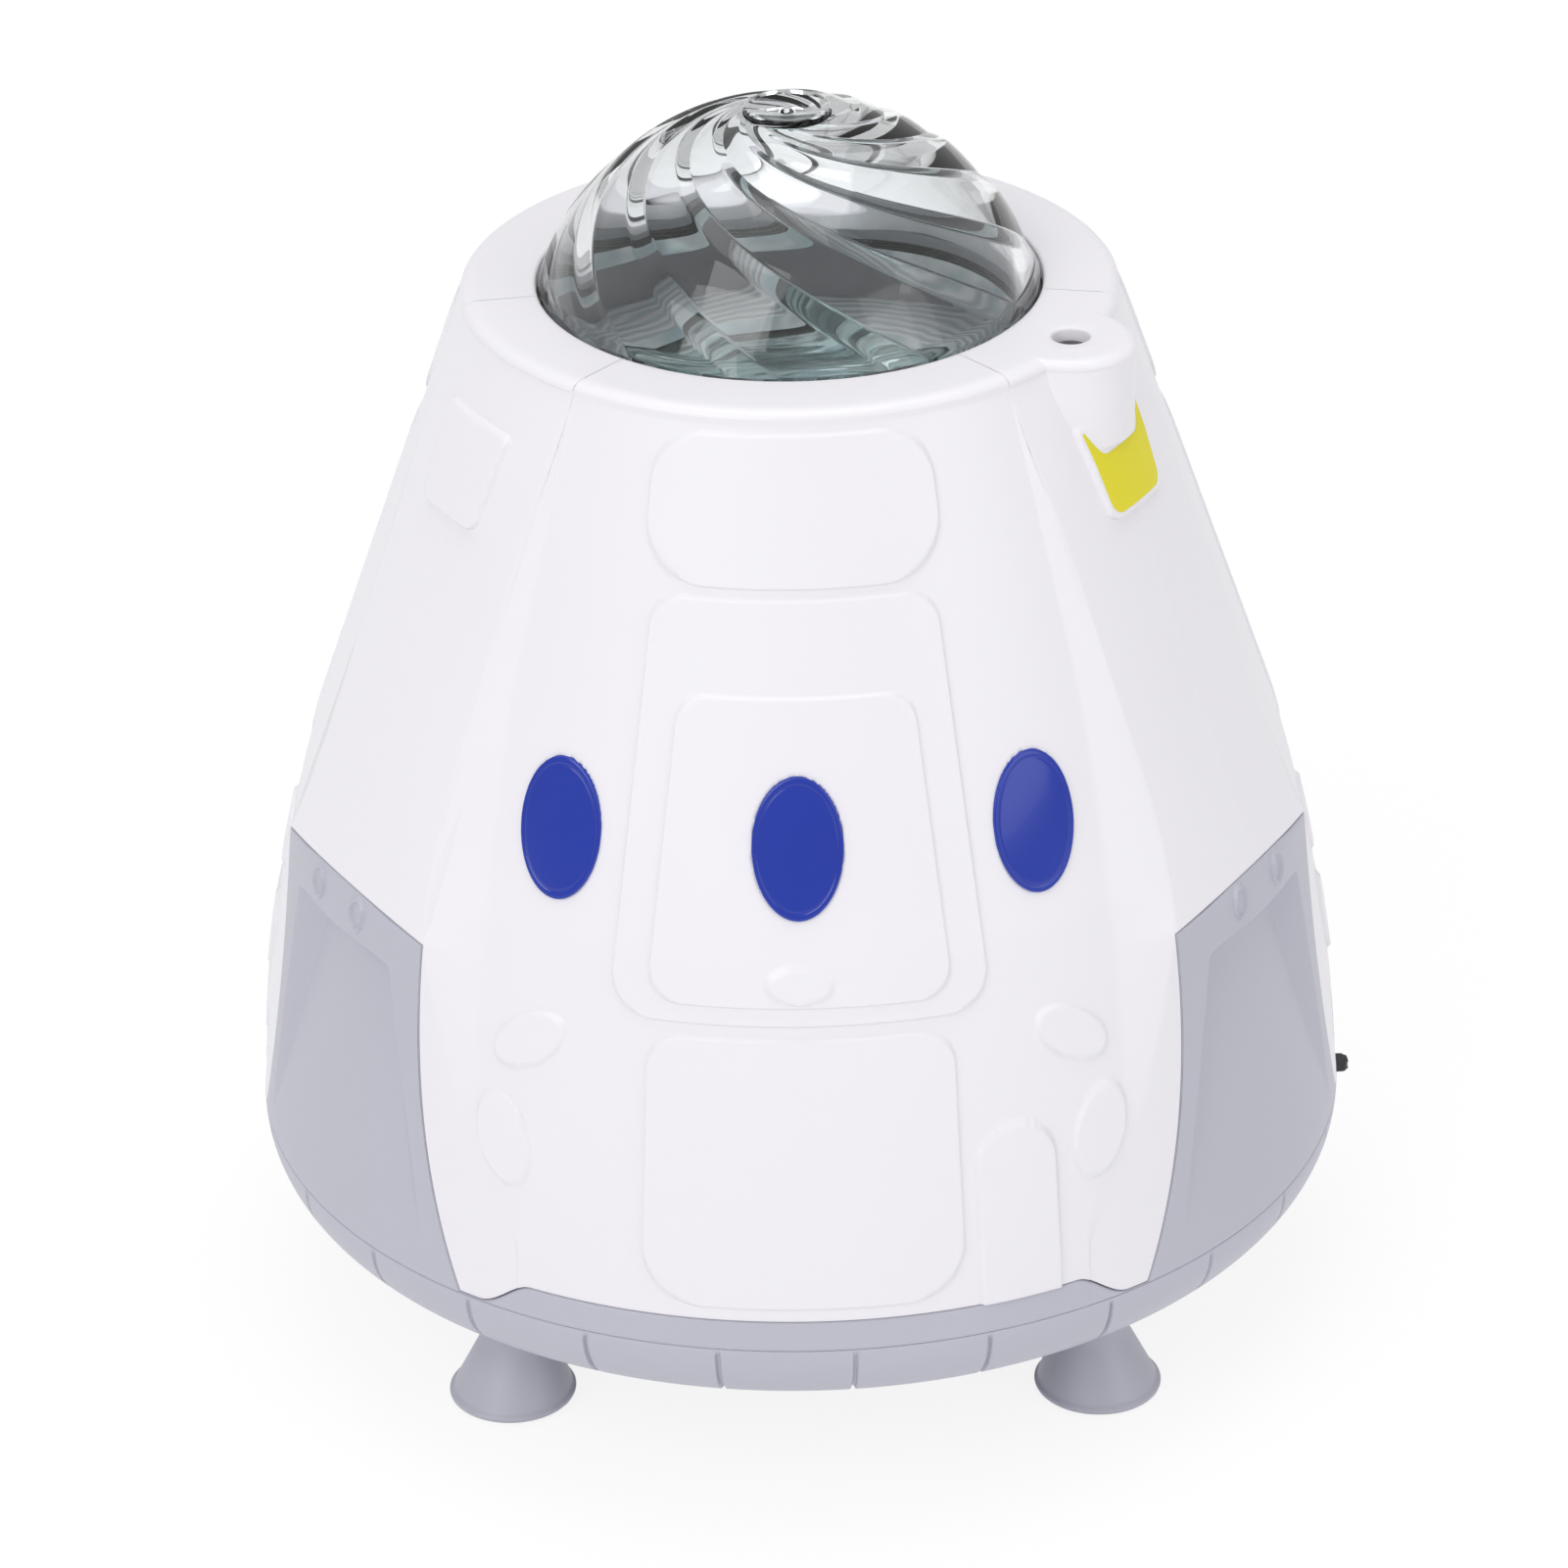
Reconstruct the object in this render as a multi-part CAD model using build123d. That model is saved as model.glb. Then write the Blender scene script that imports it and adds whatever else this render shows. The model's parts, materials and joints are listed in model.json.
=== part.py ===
from build123d import *
from math import asin, atan, cos, exp, log, pi, radians, sin, sqrt, tan
import os

# Planetarium projector shaped like a space capsule. Millimetres, +Z up, floor at Z = 0.
# The front face looks along -Y. Azimuths are counted from the front towards +X.
# Heights named *_Z are absolute; profiles of the capsule are counted from its seam.

# ---------------------------------------------------------------- capsule form
SEAM_Z = 32.0                       # joint between the base tray and the lower shell
SEAM_RADIUS = 84.0
CONE_FOOT = (SEAM_RADIUS - 10.0, 59.5)      # where the straight cone of a white face starts
FACE_BULGE = (SEAM_RADIUS - 3.8, 33.0)      # point on the round lower stretch of a white face
RING_EDGE = (49.1, 131.0)           # upper end of the cone
RING_RISE = 134.4                   # top of the ring above the seam
RING_ROUND = 1.8                    # rounding of the ring's outer edge
RING_LIP = 0.3                     # the ring stands this proud of the cone below it
RING_LIP_HEIGHT = 1.9
SHELL_WALL = 2.2
TOP_WALL = 2.5
SHOULDER = (SEAM_RADIUS - 5.1, 53.5)        # corner between the white and the grey side cones
SIDE_TOP = (50.1, 131.0)
FACE_AZIMUTHS = (0, 120, 240)
SIDE_AZIMUTHS = (60, 180, 300)
CREASE_TOP = (49.4, 19.3, 130.0)    # bevel plane of a side: radius, azimuth off its middle, height
CREASE_LOW = (SEAM_RADIUS - 3.1, 23.6, 30.0)
CREASE_OUTER = (SEAM_RADIUS - 10.1, 15.4, 67.0)

# ---------------------------------------------------------------- split between the shells
SPLIT_GAP = 0.25
PANEL_FOOT_HALF = 32.4              # grey side panel, half widths across its middle
PANEL_LOW = (25.0, 19.5)
PANEL_MID = (21.8, 39.0)
PANEL_CORNER = (21.5, 53.5)
PANEL_CROWN = 55.6
BAND_RISE = 5.0                     # grey band under a white face
WAVE_INNER = 42.0
WAVE_OUTER = 49.0
WHITE_FOOT = 0.35
LIP_INNER = SEAM_RADIUS - 4.6
LIP_OUTER = SEAM_RADIUS - 3.1
LIP_RISE = 9.7
SCOOP_TOP = (14.5, 46.2)
SCOOP_FOOT = (25.5, 3.0)
SCOOP_DEPTH = 2.6
SCOOP_CORNER = 5.0
SCOOP_BACK = 2.0                    # wall left behind the scoop
GREY_WALL = 2.4
OVAL_SIZE = (1.8, 2.9)              # half width and half height of an oval on the frame
OVAL_SPREAD = 6.1
OVAL_RISE = 50.4

# ---------------------------------------------------------------- relief of a white face
RELIEF = 0.6
TOP_PANEL = (19.1, 21.7, 110.5, 131.6)      # half width above, half width below, foot, top
DOOR_OUTER = (20.0, 27.6, 50.6, 109.0)
DOOR_INNER = (16.5, 21.9, 53.5, 96.0)
LOWER_PANEL = (22.0, 23.7, 7.2, 48.5)
HANDLE = (4.65, 2.65, 56.9)                 # half width, half height, height of its middle
ARCH_AZIMUTH = 22.5
ARCH_HALF = 6.3
ARCH_TOP = 32.7
UPPER_ELLIPSE = (30.3, 43.8, 6.4, 3.6, 33.0)   # azimuth, height, half axes, tilt
LOWER_ELLIPSE = (32.5, 27.9, 8.7, 4.7, -70.0)
PAD_HALVES = (7.8, 8.7)
PAD_SPAN = (108.0, 123.5)
PAD_RELIEF = 0.9
PAD_CORNER = 1.6

# ---------------------------------------------------------------- portholes
PORTHOLE_HALF_WIDTH = 6.55
PORTHOLE_HALF_HEIGHT = 9.8
PORTHOLE_RISE = 75.8
PORTHOLE_SIDE_DROP = 1.2            # the two outer windows stand this much lower
PORTHOLE_AZIMUTHS = (-29.7, 0.0, 29.7)
PORTHOLE_LEAN = 7.3
PORTHOLE_GAP = 0.15
PORTHOLE_PROUD = 0.35
PORTHOLE_LIP = 1.3                  # flange of the window behind the wall
PORTHOLE_LIP_DEPTH = 1.2

# ---------------------------------------------------------------- base tray and feet
TRAY_ROUND = 11.4
TRAY_ROUND_RISE = -0.6
TRAY_DEPTH = 12.0
TRAY_WALL = 2.4
TRAY_RIM_INNER = SEAM_RADIUS - 7.0
TRAY_RIM_RISE = 2.5
FIT_GAP = 0.3
GROOVE_COUNT = 26
GROOVE_PHASE = 5.1
GROOVE_WIDTH = 0.9
GROOVE_DEPTH = 0.55
FOOT_CIRCLE = SEAM_RADIUS - 20.4
FOOT_AZIMUTHS = (-45, 45, 135, 225)
FOOT_NAMES = ("front_left", "front_right", "rear_right", "rear_left")
FOOT_RADIUS = 9.7
FOOT_WAIST = (6.0, 9.6)
FOOT_NECK = (4.6, 13.6)
FOOT_LEAN = 8.5
FOOT_LIFT = 0.5                     # the foot stands clear of the floor by this much
PAD_RADIUS = 7.2
PAD_RECESS = 0.8
PAD_FIT = 0.1
SHELL_SCREW_CIRCLE = SEAM_RADIUS - 11.0
TRAY_SCREW_CIRCLE = SEAM_RADIUS - 7.6
TRAY_SCREW_AZIMUTHS = (20, 160, 200, 340)
POST_RADIUS = 3.6

# ---------------------------------------------------------------- dome
DOME_HOLE = 37.5
DOME_RADIUS = 37.2                  # at the ring's top plane
DOME_RISE = 26.4
DOME_BORE = 34.4
DOME_FLANGE = 41.3
DOME_FLANGE_THICK = 2.5
DOME_VANES = 10
DOME_TWIST = 80.0                   # degrees of turn for each unit of the spiral's parameter
DOME_PHASE = 22.4                   # azimuth of a vane at the ring
VANE_DEPTH = 0.75
DOME_BOSS_RADIUS = 6.4
DOME_BOSS_PROUD = 0.5
DOME_SECTIONS = 11                  # sections of the loft, at equal steps of turn
CLAMP_THICK = 2.5
CLAMP_OUTER = 41.4
CLAMP_SCREW_CIRCLE = 43.9
CLAMP_SCREW_AZIMUTHS = (-30, 90, 210)
CLAMP_EAR = 2.9

# ---------------------------------------------------------------- projector deck and rotor
DECK_Z = SEAM_Z + 104.0
DECK_THICK = 2.5
DECK_RADIUS = 52.0
LIGHT_BORE = 25.5
COLLAR_RADIUS = 27.6
COLLAR_RISE = 5.5
RUNNING_FIT = 0.08
GEAR_MODULE = 0.8
RING_TEETH = 80
PINION_TEETH = 12
TOOTH_FOOT_SHARE = 0.37             # half thickness of a tooth as a share of the tooth pitch
TOOTH_TIP_SHARE = 0.10
GEAR_FACE = 4.8
GEAR_LIFT = 0.5
ROTOR_RISE = 6.3                    # deck to the seat of the ripple disc
ROTOR_LIFT = 0.3
RIPPLE_RADIUS = 30.6
RIPPLE_THICK = 1.8
COVER_GAP = 0.4
COVER_THICK = 2.0
COVER_BORE = 28.2
COVER_RADIUS = 40.6
COVER_POST_CIRCLE = 38.0
COVER_POST_AZIMUTHS = (-30, 90, 210)
COVER_POST_RADIUS = 2.4
DECK_BOSS_CIRCLE = 45.0
DECK_BOSS_RADIUS = 3.2
PINION_AZIMUTH = 180
MOTOR_RADIUS = 8.0
MOTOR_LENGTH = 19.0
MOTOR_EAR_SPREAD = 11.0
MOTOR_EAR_RADIUS = 2.9
MOTOR_EAR_THICK = 1.4
SHAFT_RADIUS = 1.0

# ---------------------------------------------------------------- star laser
LASER_AZIMUTH = 60
LASER_CIRCLE = 46.8
LASER_BOSS_RADIUS = 9.4
LASER_BOSS_WALL = 2.0
LASER_BOSS_FOOT = 105.0
LASER_APERTURE = 2.8
LASER_RADIUS = 3.8
LASER_FIT = 0.1
LASER_FOOT = 98.0
LASER_TOP = 118.0
LASER_CLAMP_RADIUS = 6.2
LASER_CLAMP_HEIGHT = 4.5
STAR_AXIS_CIRCLE = 38.8
STAR_DISC_RADIUS = 10.2
STAR_DISC_THICK = 1.0
STAR_MOTOR_RADIUS = 3.6
STAR_SHAFT_RADIUS = 0.75

# ---------------------------------------------------------------- lamp
CUP_FOOT = (7.5, 84.0)              # reflector cone: radius and height above the seam
CUP_WALL = 1.6
CUP_PLATE = 2.0
CUP_EAR_CIRCLE = 31.4
CUP_EAR_RADIUS = 3.8
CUP_EAR_THICK = 2.5
LED_HOLE = 4.0
LENS_RADIUS = 10.1
LENS_SEAT_RISE = 86.6
LENS_EDGE = 1.0
LENS_CROWN = 3.4
LED_BOARD_RADIUS = 10.0
LED_BOARD_THICK = 1.6
SINK_RADIUS = 22.0
SINK_PLATE = 3.0
SINK_HEIGHT = 26.0
SINK_CORE = 6.0
FIN_COUNT = 12
FIN_THICK = 1.4
SINK_POST_CIRCLE = 16.0
SINK_POST_RADIUS = 2.4

# ---------------------------------------------------------------- electronics
BOARD_SIZE = (56.0, 50.0)
BOARD_MIDDLE_Y = SEAM_RADIUS - 41.0
BOARD_THICK = 1.6
BOARD_POST_RISE = 7.7
BOARD_POST_RADIUS = 3.0
BOARD_HOLE_INSET = 4.0
JACK_SIZE = (9.0, 13.0, 6.8)
JACK_NOSE_RADIUS = 3.0
JACK_BORE = 1.75
JACK_PIN = 0.55
JACK_FALL = 5.3                     # the jack's middle below the seam
SWITCH_AZIMUTH = 95.8
SWITCH_FALL = 6.3
SWITCH_BODY = (10.0, 5.4, 4.4)      # along the slide, deep, high
SWITCH_FRONT = SEAM_RADIUS - 7.8
KNOB_SIZE = (3.3, 1.8)
KNOB_REACH = SEAM_RADIUS + 3.2
KNOB_ROOT = SWITCH_FRONT - 1.8
KNOB_TRAVEL = 2.0
SLOT_GAP = 0.4
EYE_BOARD = (10.0, 32.0, 1.6)
EYE_BOARD_Y = 25.2 - SEAM_RADIUS
EYE_POST_RISES = (61.8, 89.4)
EYE_SIZE = (5.2, 4.2, 6.4)

# ---------------------------------------------------------------- screws
SCREW_RADIUS = 1.1
SCREW_HEAD_RADIUS = 2.1
SCREW_HEAD_THICK = 1.4
SCREW_GAP = 0.06
SMALL_SCREW_RADIUS = 0.8
SMALL_HEAD_RADIUS = 1.6
SMALL_HEAD_THICK = 1.0

REACH = 110.0                       # longer than any radius of the part
RING_Z = SEAM_Z + RING_RISE
CEILING_Z = RING_Z - TOP_WALL
DECK_TOP_Z = DECK_Z + DECK_THICK
TRAY_FLOOR_Z = SEAM_Z - TRAY_DEPTH + TRAY_WALL


# ================================================================ helpers
def polar(radius, azimuth, z=0.0):
    """The point at a radius and an azimuth from the front."""
    turn = radians(azimuth)
    return Vector(radius * sin(turn), -radius * cos(turn), z)


def spun(shape, azimuth):
    """A shape that was made facing the front, turned to an azimuth."""
    return shape.rotate(Axis.Z, azimuth)


def rod(radius, z_low, z_high, at=(0.0, 0.0)):
    """An upright cylinder between two heights."""
    return Pos(at[0], at[1], z_low) * Cylinder(
        radius, z_high - z_low, align=(Align.CENTER, Align.CENTER, Align.MIN)
    )


def rod_at(radius, z_low, z_high, circle, azimuth):
    """An upright cylinder standing on a circle about the axis."""
    centre = polar(circle, azimuth)
    return rod(radius, z_low, z_high, (centre.X, centre.Y))


def tube(outer, inner, z_low, z_high, at=(0.0, 0.0)):
    """An upright tube between two heights."""
    return rod(outer, z_low, z_high, at) - rod(inner, z_low - 1, z_high + 1, at)


def block(x_span, y_span, z_span):
    """A box between two corners."""
    size = (x_span[1] - x_span[0], y_span[1] - y_span[0], z_span[1] - z_span[0])
    corner = Pos(x_span[0], y_span[0], z_span[0])
    return corner * Box(*size, align=(Align.MIN, Align.MIN, Align.MIN))


def turned(*edges):
    """The solid that a closed profile of (radius, height) edges sweeps about the axis."""
    return revolve(Plane.XZ * make_face(Wire(list(edges)) if len(edges) > 1 else edges[0]), Axis.Z)


def turned_polygon(*points):
    """The solid that a polygon of (radius, height) points sweeps about the axis."""
    return turned(*Polyline(*points, close=True).edges())


def prism(sketch, azimuth=0.0, near=40.0):
    """A sketch of (across, height) pushed outwards along an azimuth."""
    flat = Plane.XZ.offset(near) * sketch
    return spun(extrude(flat, REACH - near), azimuth)


def rounded(points, radii):
    """A face with straight sides whose corners are rounded one by one."""
    outline = FilletPolyline(*points, radius=list(radii), close=True)
    return make_face(outline.edges())


def trapezoid(half_top, half_foot, foot, top, round_top, round_foot):
    """An upright panel outline, symmetric about its middle."""
    corners = ((-half_foot, foot), (half_foot, foot), (half_top, top), (-half_top, top))
    lifted = [(x, z + SEAM_Z) for x, z in corners]
    return rounded(lifted, (round_foot, round_foot, round_top, round_top))


def screw(shank, head, head_thick, length):
    """A pan-head screw whose head sits at Z = 0 and whose shank points up."""
    body = rod(head, -head_thick, 0) + rod(shank, 0, length)
    slot = block((-head * 0.7, head * 0.7), (-0.25, 0.25), (-head_thick - 1, -head_thick * 0.5))
    return body - slot - slot.rotate(Axis.Z, 90)


def screws(places, length, small=False):
    """A group of like screws with their heads below the given places."""
    radius = SMALL_SCREW_RADIUS if small else SCREW_RADIUS
    head = SMALL_HEAD_RADIUS if small else SCREW_HEAD_RADIUS
    thick = SMALL_HEAD_THICK if small else SCREW_HEAD_THICK
    return Compound(children=[Pos(*place) * screw(radius, head, thick, length) for place in places])


# ================================================================ capsule surfaces
def face_body(grow=0.0, ceiling=RING_Z):
    """The solid of revolution that carries the white faces, grown outwards, up to a ceiling."""
    slope = atan((CONE_FOOT[0] - RING_EDGE[0]) / (RING_EDGE[1] - CONE_FOOT[1]))
    cone_grow = grow / cos(slope)
    foot = (SEAM_RADIUS + grow, SEAM_Z)
    middle = (FACE_BULGE[0] + grow, SEAM_Z + FACE_BULGE[1])
    knee = (CONE_FOOT[0] + cone_grow, SEAM_Z + CONE_FOOT[1])
    edge_radius = knee[0] - (ceiling - knee[1]) * tan(slope)
    return turned(
        ThreePointArc(foot, middle, knee),
        Line(knee, (edge_radius, ceiling)),
        Line((edge_radius, ceiling), (0, ceiling)),
        Line((0, ceiling), (0, SEAM_Z)),
        Line((0, SEAM_Z), foot),
    )


def side_body(grow=0.0):
    """The double cone that carries the sides between the white faces."""
    run = (SHOULDER[0] - SIDE_TOP[0]) / (SIDE_TOP[1] - SHOULDER[1])
    top_radius = SIDE_TOP[0] - run * (RING_RISE - SIDE_TOP[1])
    return turned_polygon(
        (0, SEAM_Z),
        (SEAM_RADIUS + grow, SEAM_Z),
        (SHOULDER[0] + grow, SEAM_Z + SHOULDER[1]),
        (top_radius + grow, RING_Z),
        (0, RING_Z),
    )


def bevel_half_space(mirror):
    """Everything inside the slanted plane that ends a raised side."""
    corners = []
    for radius, swing, rise in (CREASE_TOP, CREASE_LOW, CREASE_OUTER):
        corners.append(polar(radius, mirror * swing, SEAM_Z + rise))
    top, low, outer = corners
    normal = (low - top).cross(outer - top).normalized()
    if normal.dot(polar(1, 0)) < 0:
        normal = -normal
    plane = Plane(origin=top, x_dir=(low - top), z_dir=normal)
    return plane * Pos(0, 0, -REACH * 1.5) * Box(REACH * 3, REACH * 3, REACH * 3)


def raised_side():
    """One side between two white faces, with a bevel along both edges."""
    limits = block((-35, 35), (-REACH, -20), (SEAM_Z, RING_Z))
    return side_body() & limits & bevel_half_space(1) & bevel_half_space(-1)


def ellipse_outline(half_width, half_height, rise, tilt=0.0):
    """An upright ellipse at a height above the seam."""
    return Pos(0, SEAM_Z + rise) * Rot(0, 0, tilt) * Ellipse(half_width, half_height)


def arch_outline():
    """A doorway with a round head that runs down past the white edge."""
    straight = Pos(0, SEAM_Z + (ARCH_TOP - ARCH_HALF) / 2) * Rectangle(2 * ARCH_HALF, ARCH_TOP - ARCH_HALF)
    return straight + Pos(0, SEAM_Z + ARCH_TOP - ARCH_HALF) * Circle(ARCH_HALF)


def face_relief():
    """Raised panels, door, handle, doorway and ellipses of the front face."""
    shallow = prism(trapezoid(*TOP_PANEL, 3.0, 8.0))
    shallow += prism(trapezoid(*DOOR_OUTER, 4.0, 6.0))
    shallow += prism(trapezoid(*LOWER_PANEL, 4.5, 9.0))
    shallow += prism(arch_outline(), ARCH_AZIMUTH)
    for azimuth, rise, long_half, short_half, tilt in (UPPER_ELLIPSE, LOWER_ELLIPSE):
        for side in (-1, 1):
            outline = ellipse_outline(long_half, short_half, rise, -side * tilt)
            shallow += prism(outline, side * azimuth)
    door = prism(trapezoid(*DOOR_INNER, 4.0, 5.0))
    handle = prism(ellipse_outline(HANDLE[0], HANDLE[1], HANDLE[2]))
    relief = shallow & face_body(RELIEF)
    relief += door & face_body(2 * RELIEF)
    return relief + (handle & face_body(3 * RELIEF))


def side_pad():
    """The raised pad near the top of a side."""
    outline = trapezoid(*PAD_HALVES, *PAD_SPAN, PAD_CORNER, PAD_CORNER)
    return prism(outline) & side_body(PAD_RELIEF)


def capsule_solid():
    """The whole outer form above the seam, still solid."""
    lip_z = RING_Z - RING_LIP_HEIGHT
    ring = face_body(RING_LIP)
    rim = ring.edges().filter_by(GeomType.CIRCLE).sort_by(Axis.Z)[-1]
    body = face_body() + (fillet(rim, RING_ROUND) & rod(REACH, lip_z, RING_Z + 1))
    boss = rod_at(LASER_BOSS_RADIUS + RING_LIP, lip_z, RING_Z, LASER_CIRCLE, LASER_AZIMUTH)
    boss = fillet(boss.edges().sort_by(Axis.Z)[-1], RING_ROUND)
    boss += rod_at(LASER_BOSS_RADIUS, SEAM_Z + LASER_BOSS_FOOT, lip_z, LASER_CIRCLE, LASER_AZIMUTH)
    side = raised_side()
    pad = side_pad()
    relief = face_relief()
    for azimuth in SIDE_AZIMUTHS:
        body += spun(side, azimuth)
        body += spun(pad, azimuth)
    for azimuth in FACE_AZIMUTHS:
        body += spun(relief, azimuth)
    return body + boss


# ================================================================ split outlines
def panel_outline(grow=0.0):
    """Outline of a grey side panel."""
    corner = (PANEL_CORNER[0] + grow, SEAM_Z + PANEL_CORNER[1] + grow)
    flank = Spline(
        (PANEL_FOOT_HALF + grow, SEAM_Z),
        (PANEL_LOW[0] + grow, SEAM_Z + PANEL_LOW[1]),
        (PANEL_MID[0] + grow, SEAM_Z + PANEL_MID[1]),
        corner,
    )
    crown = ThreePointArc(corner, (0, SEAM_Z + PANEL_CROWN + grow), (-corner[0], corner[1]))
    foot_z = SEAM_Z - 1
    half = PANEL_FOOT_HALF + grow
    right_foot = Line((half, foot_z), (half, SEAM_Z))
    left_foot = Line((-half, SEAM_Z), (-half, foot_z))
    floor = Line((-half, foot_z), (half, foot_z))
    return make_face([right_foot, flank, crown, flank.mirror(Plane.YZ), left_foot, floor])


def band_outline(grow=0.0):
    """Outline of the grey band under a white face, with a wave at each end."""
    top = SEAM_Z + BAND_RISE + grow
    foot_z = SEAM_Z - 1
    outer = WAVE_OUTER + grow
    inner = WAVE_INNER + grow
    low = SEAM_Z + WHITE_FOOT
    wave = Spline((inner, top), (outer, low), tangents=((1, 0), (1, -0.15)))
    return make_face(
        [
            Line((-inner, top), (inner, top)),
            wave,
            Line((outer, low), (outer, foot_z)),
            Line((outer, foot_z), (-outer, foot_z)),
            Line((-outer, foot_z), (-outer, low)),
            wave.mirror(Plane.YZ),
        ]
    )


def grey_zone(grow=0.0):
    """The room that the lower shell takes of the capsule form."""
    zone = prism(panel_outline(grow), SIDE_AZIMUTHS[0])
    for azimuth in SIDE_AZIMUTHS[1:]:
        zone += prism(panel_outline(grow), azimuth)
    for azimuth in FACE_AZIMUTHS:
        zone += prism(band_outline(grow), azimuth)
    return zone


def porthole_prism(azimuth, grow=0.0):
    """An elliptical plug through the wall; the outer windows lean outwards."""
    lean = -PORTHOLE_LEAN * (azimuth > 0) + PORTHOLE_LEAN * (azimuth < 0)
    rise = PORTHOLE_RISE - PORTHOLE_SIDE_DROP * (azimuth != 0)
    outline = ellipse_outline(PORTHOLE_HALF_WIDTH + grow, PORTHOLE_HALF_HEIGHT + grow, rise, lean)
    return prism(outline, azimuth)


# ================================================================ shells
def shell_boss_places():
    """Screw axes that join the upper shell to the lower shell."""
    return [polar(SHELL_SCREW_CIRCLE, azimuth) for azimuth in FACE_AZIMUTHS]


def make_upper_shell(capsule):
    """White shell with ring, laser boss, windows, screw bosses and inner cavity."""
    cavity = face_body(-SHELL_WALL, CEILING_Z)
    bosses = Part()
    for azimuth in FACE_AZIMUTHS:
        bosses += rod_at(DECK_BOSS_RADIUS, DECK_TOP_Z, CEILING_Z, DECK_BOSS_CIRCLE, azimuth)
        arm = block((-POST_RADIUS, POST_RADIUS), (-REACH, -SHELL_SCREW_CIRCLE), (SEAM_Z + 10, SEAM_Z + 24))
        arm += rod(POST_RADIUS, SEAM_Z + 10, SEAM_Z + 24, (0, -SHELL_SCREW_CIRCLE))
        bosses += spun(arm, azimuth)
    for azimuth in CLAMP_SCREW_AZIMUTHS:
        bosses += rod_at(CLAMP_EAR, CEILING_Z - DOME_FLANGE_THICK, CEILING_Z, CLAMP_SCREW_CIRCLE, azimuth)
    for rise in EYE_POST_RISES:
        post = Pos(0, EYE_BOARD_Y, SEAM_Z + rise) * Rot(90, 0, 0) * Cylinder(
            2.2, 30, align=(Align.CENTER, Align.CENTER, Align.MIN)
        )
        bosses += post
    flange_room = rod(DOME_FLANGE + FIT_GAP, CEILING_Z - DOME_FLANGE_THICK - 1, CEILING_Z)
    bosses -= flange_room
    cavity -= bosses
    cavity += rod_at(
        LASER_BOSS_RADIUS - LASER_BOSS_WALL, SEAM_Z + LASER_BOSS_FOOT, CEILING_Z, LASER_CIRCLE, LASER_AZIMUTH
    )
    shell = capsule - cavity - grey_zone(SPLIT_GAP)
    shell -= rod(REACH, SEAM_Z - 1, SEAM_Z + WHITE_FOOT)
    shell -= rod(DOME_HOLE, CEILING_Z - 1, RING_Z + 1)
    shell -= rod_at(LASER_APERTURE, CEILING_Z - 1, RING_Z + 1, LASER_CIRCLE, LASER_AZIMUTH)
    for azimuth in PORTHOLE_AZIMUTHS:
        shell -= porthole_prism(azimuth)
    for face in FACE_AZIMUTHS:
        shell -= rod_at(SCREW_RADIUS + SCREW_GAP, DECK_TOP_Z - 1, DECK_TOP_Z + 9, DECK_BOSS_CIRCLE, face)
    for place in shell_boss_places():
        shell -= rod(SCREW_RADIUS + SCREW_GAP, SEAM_Z + 9, SEAM_Z + 20, (place.X, place.Y))
    hole = SMALL_SCREW_RADIUS + SCREW_GAP
    for azimuth in CLAMP_SCREW_AZIMUTHS:
        shell -= rod_at(hole, CEILING_Z - 4, CEILING_Z + 1, CLAMP_SCREW_CIRCLE, azimuth)
    return shell


def scoop_floor(extra=0.0):
    """Cone that the bottom of a scoop follows, deepest at its top."""
    foot = (SEAM_RADIUS - 0.3 - extra, SEAM_Z + SCOOP_FOOT[1])
    run = (SHOULDER[0] - SEAM_RADIUS) / SHOULDER[1]
    top_radius = SEAM_RADIUS + run * SCOOP_TOP[1] - SCOOP_DEPTH - extra
    top = (top_radius, SEAM_Z + SCOOP_TOP[1] + 4)
    return turned_polygon((0, foot[1] - 4), (foot[0] + 0.2, foot[1] - 4), foot, top, (0, top[1]))


def scoop_outline(grow=0.0):
    """Outline of the scoop in a grey side panel."""
    half_top = SCOOP_TOP[0] + grow
    half_foot = SCOOP_FOOT[0] + grow
    return trapezoid(half_top, half_foot, SCOOP_FOOT[1] - grow, SCOOP_TOP[1] + grow, SCOOP_CORNER, 2.0)


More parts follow.
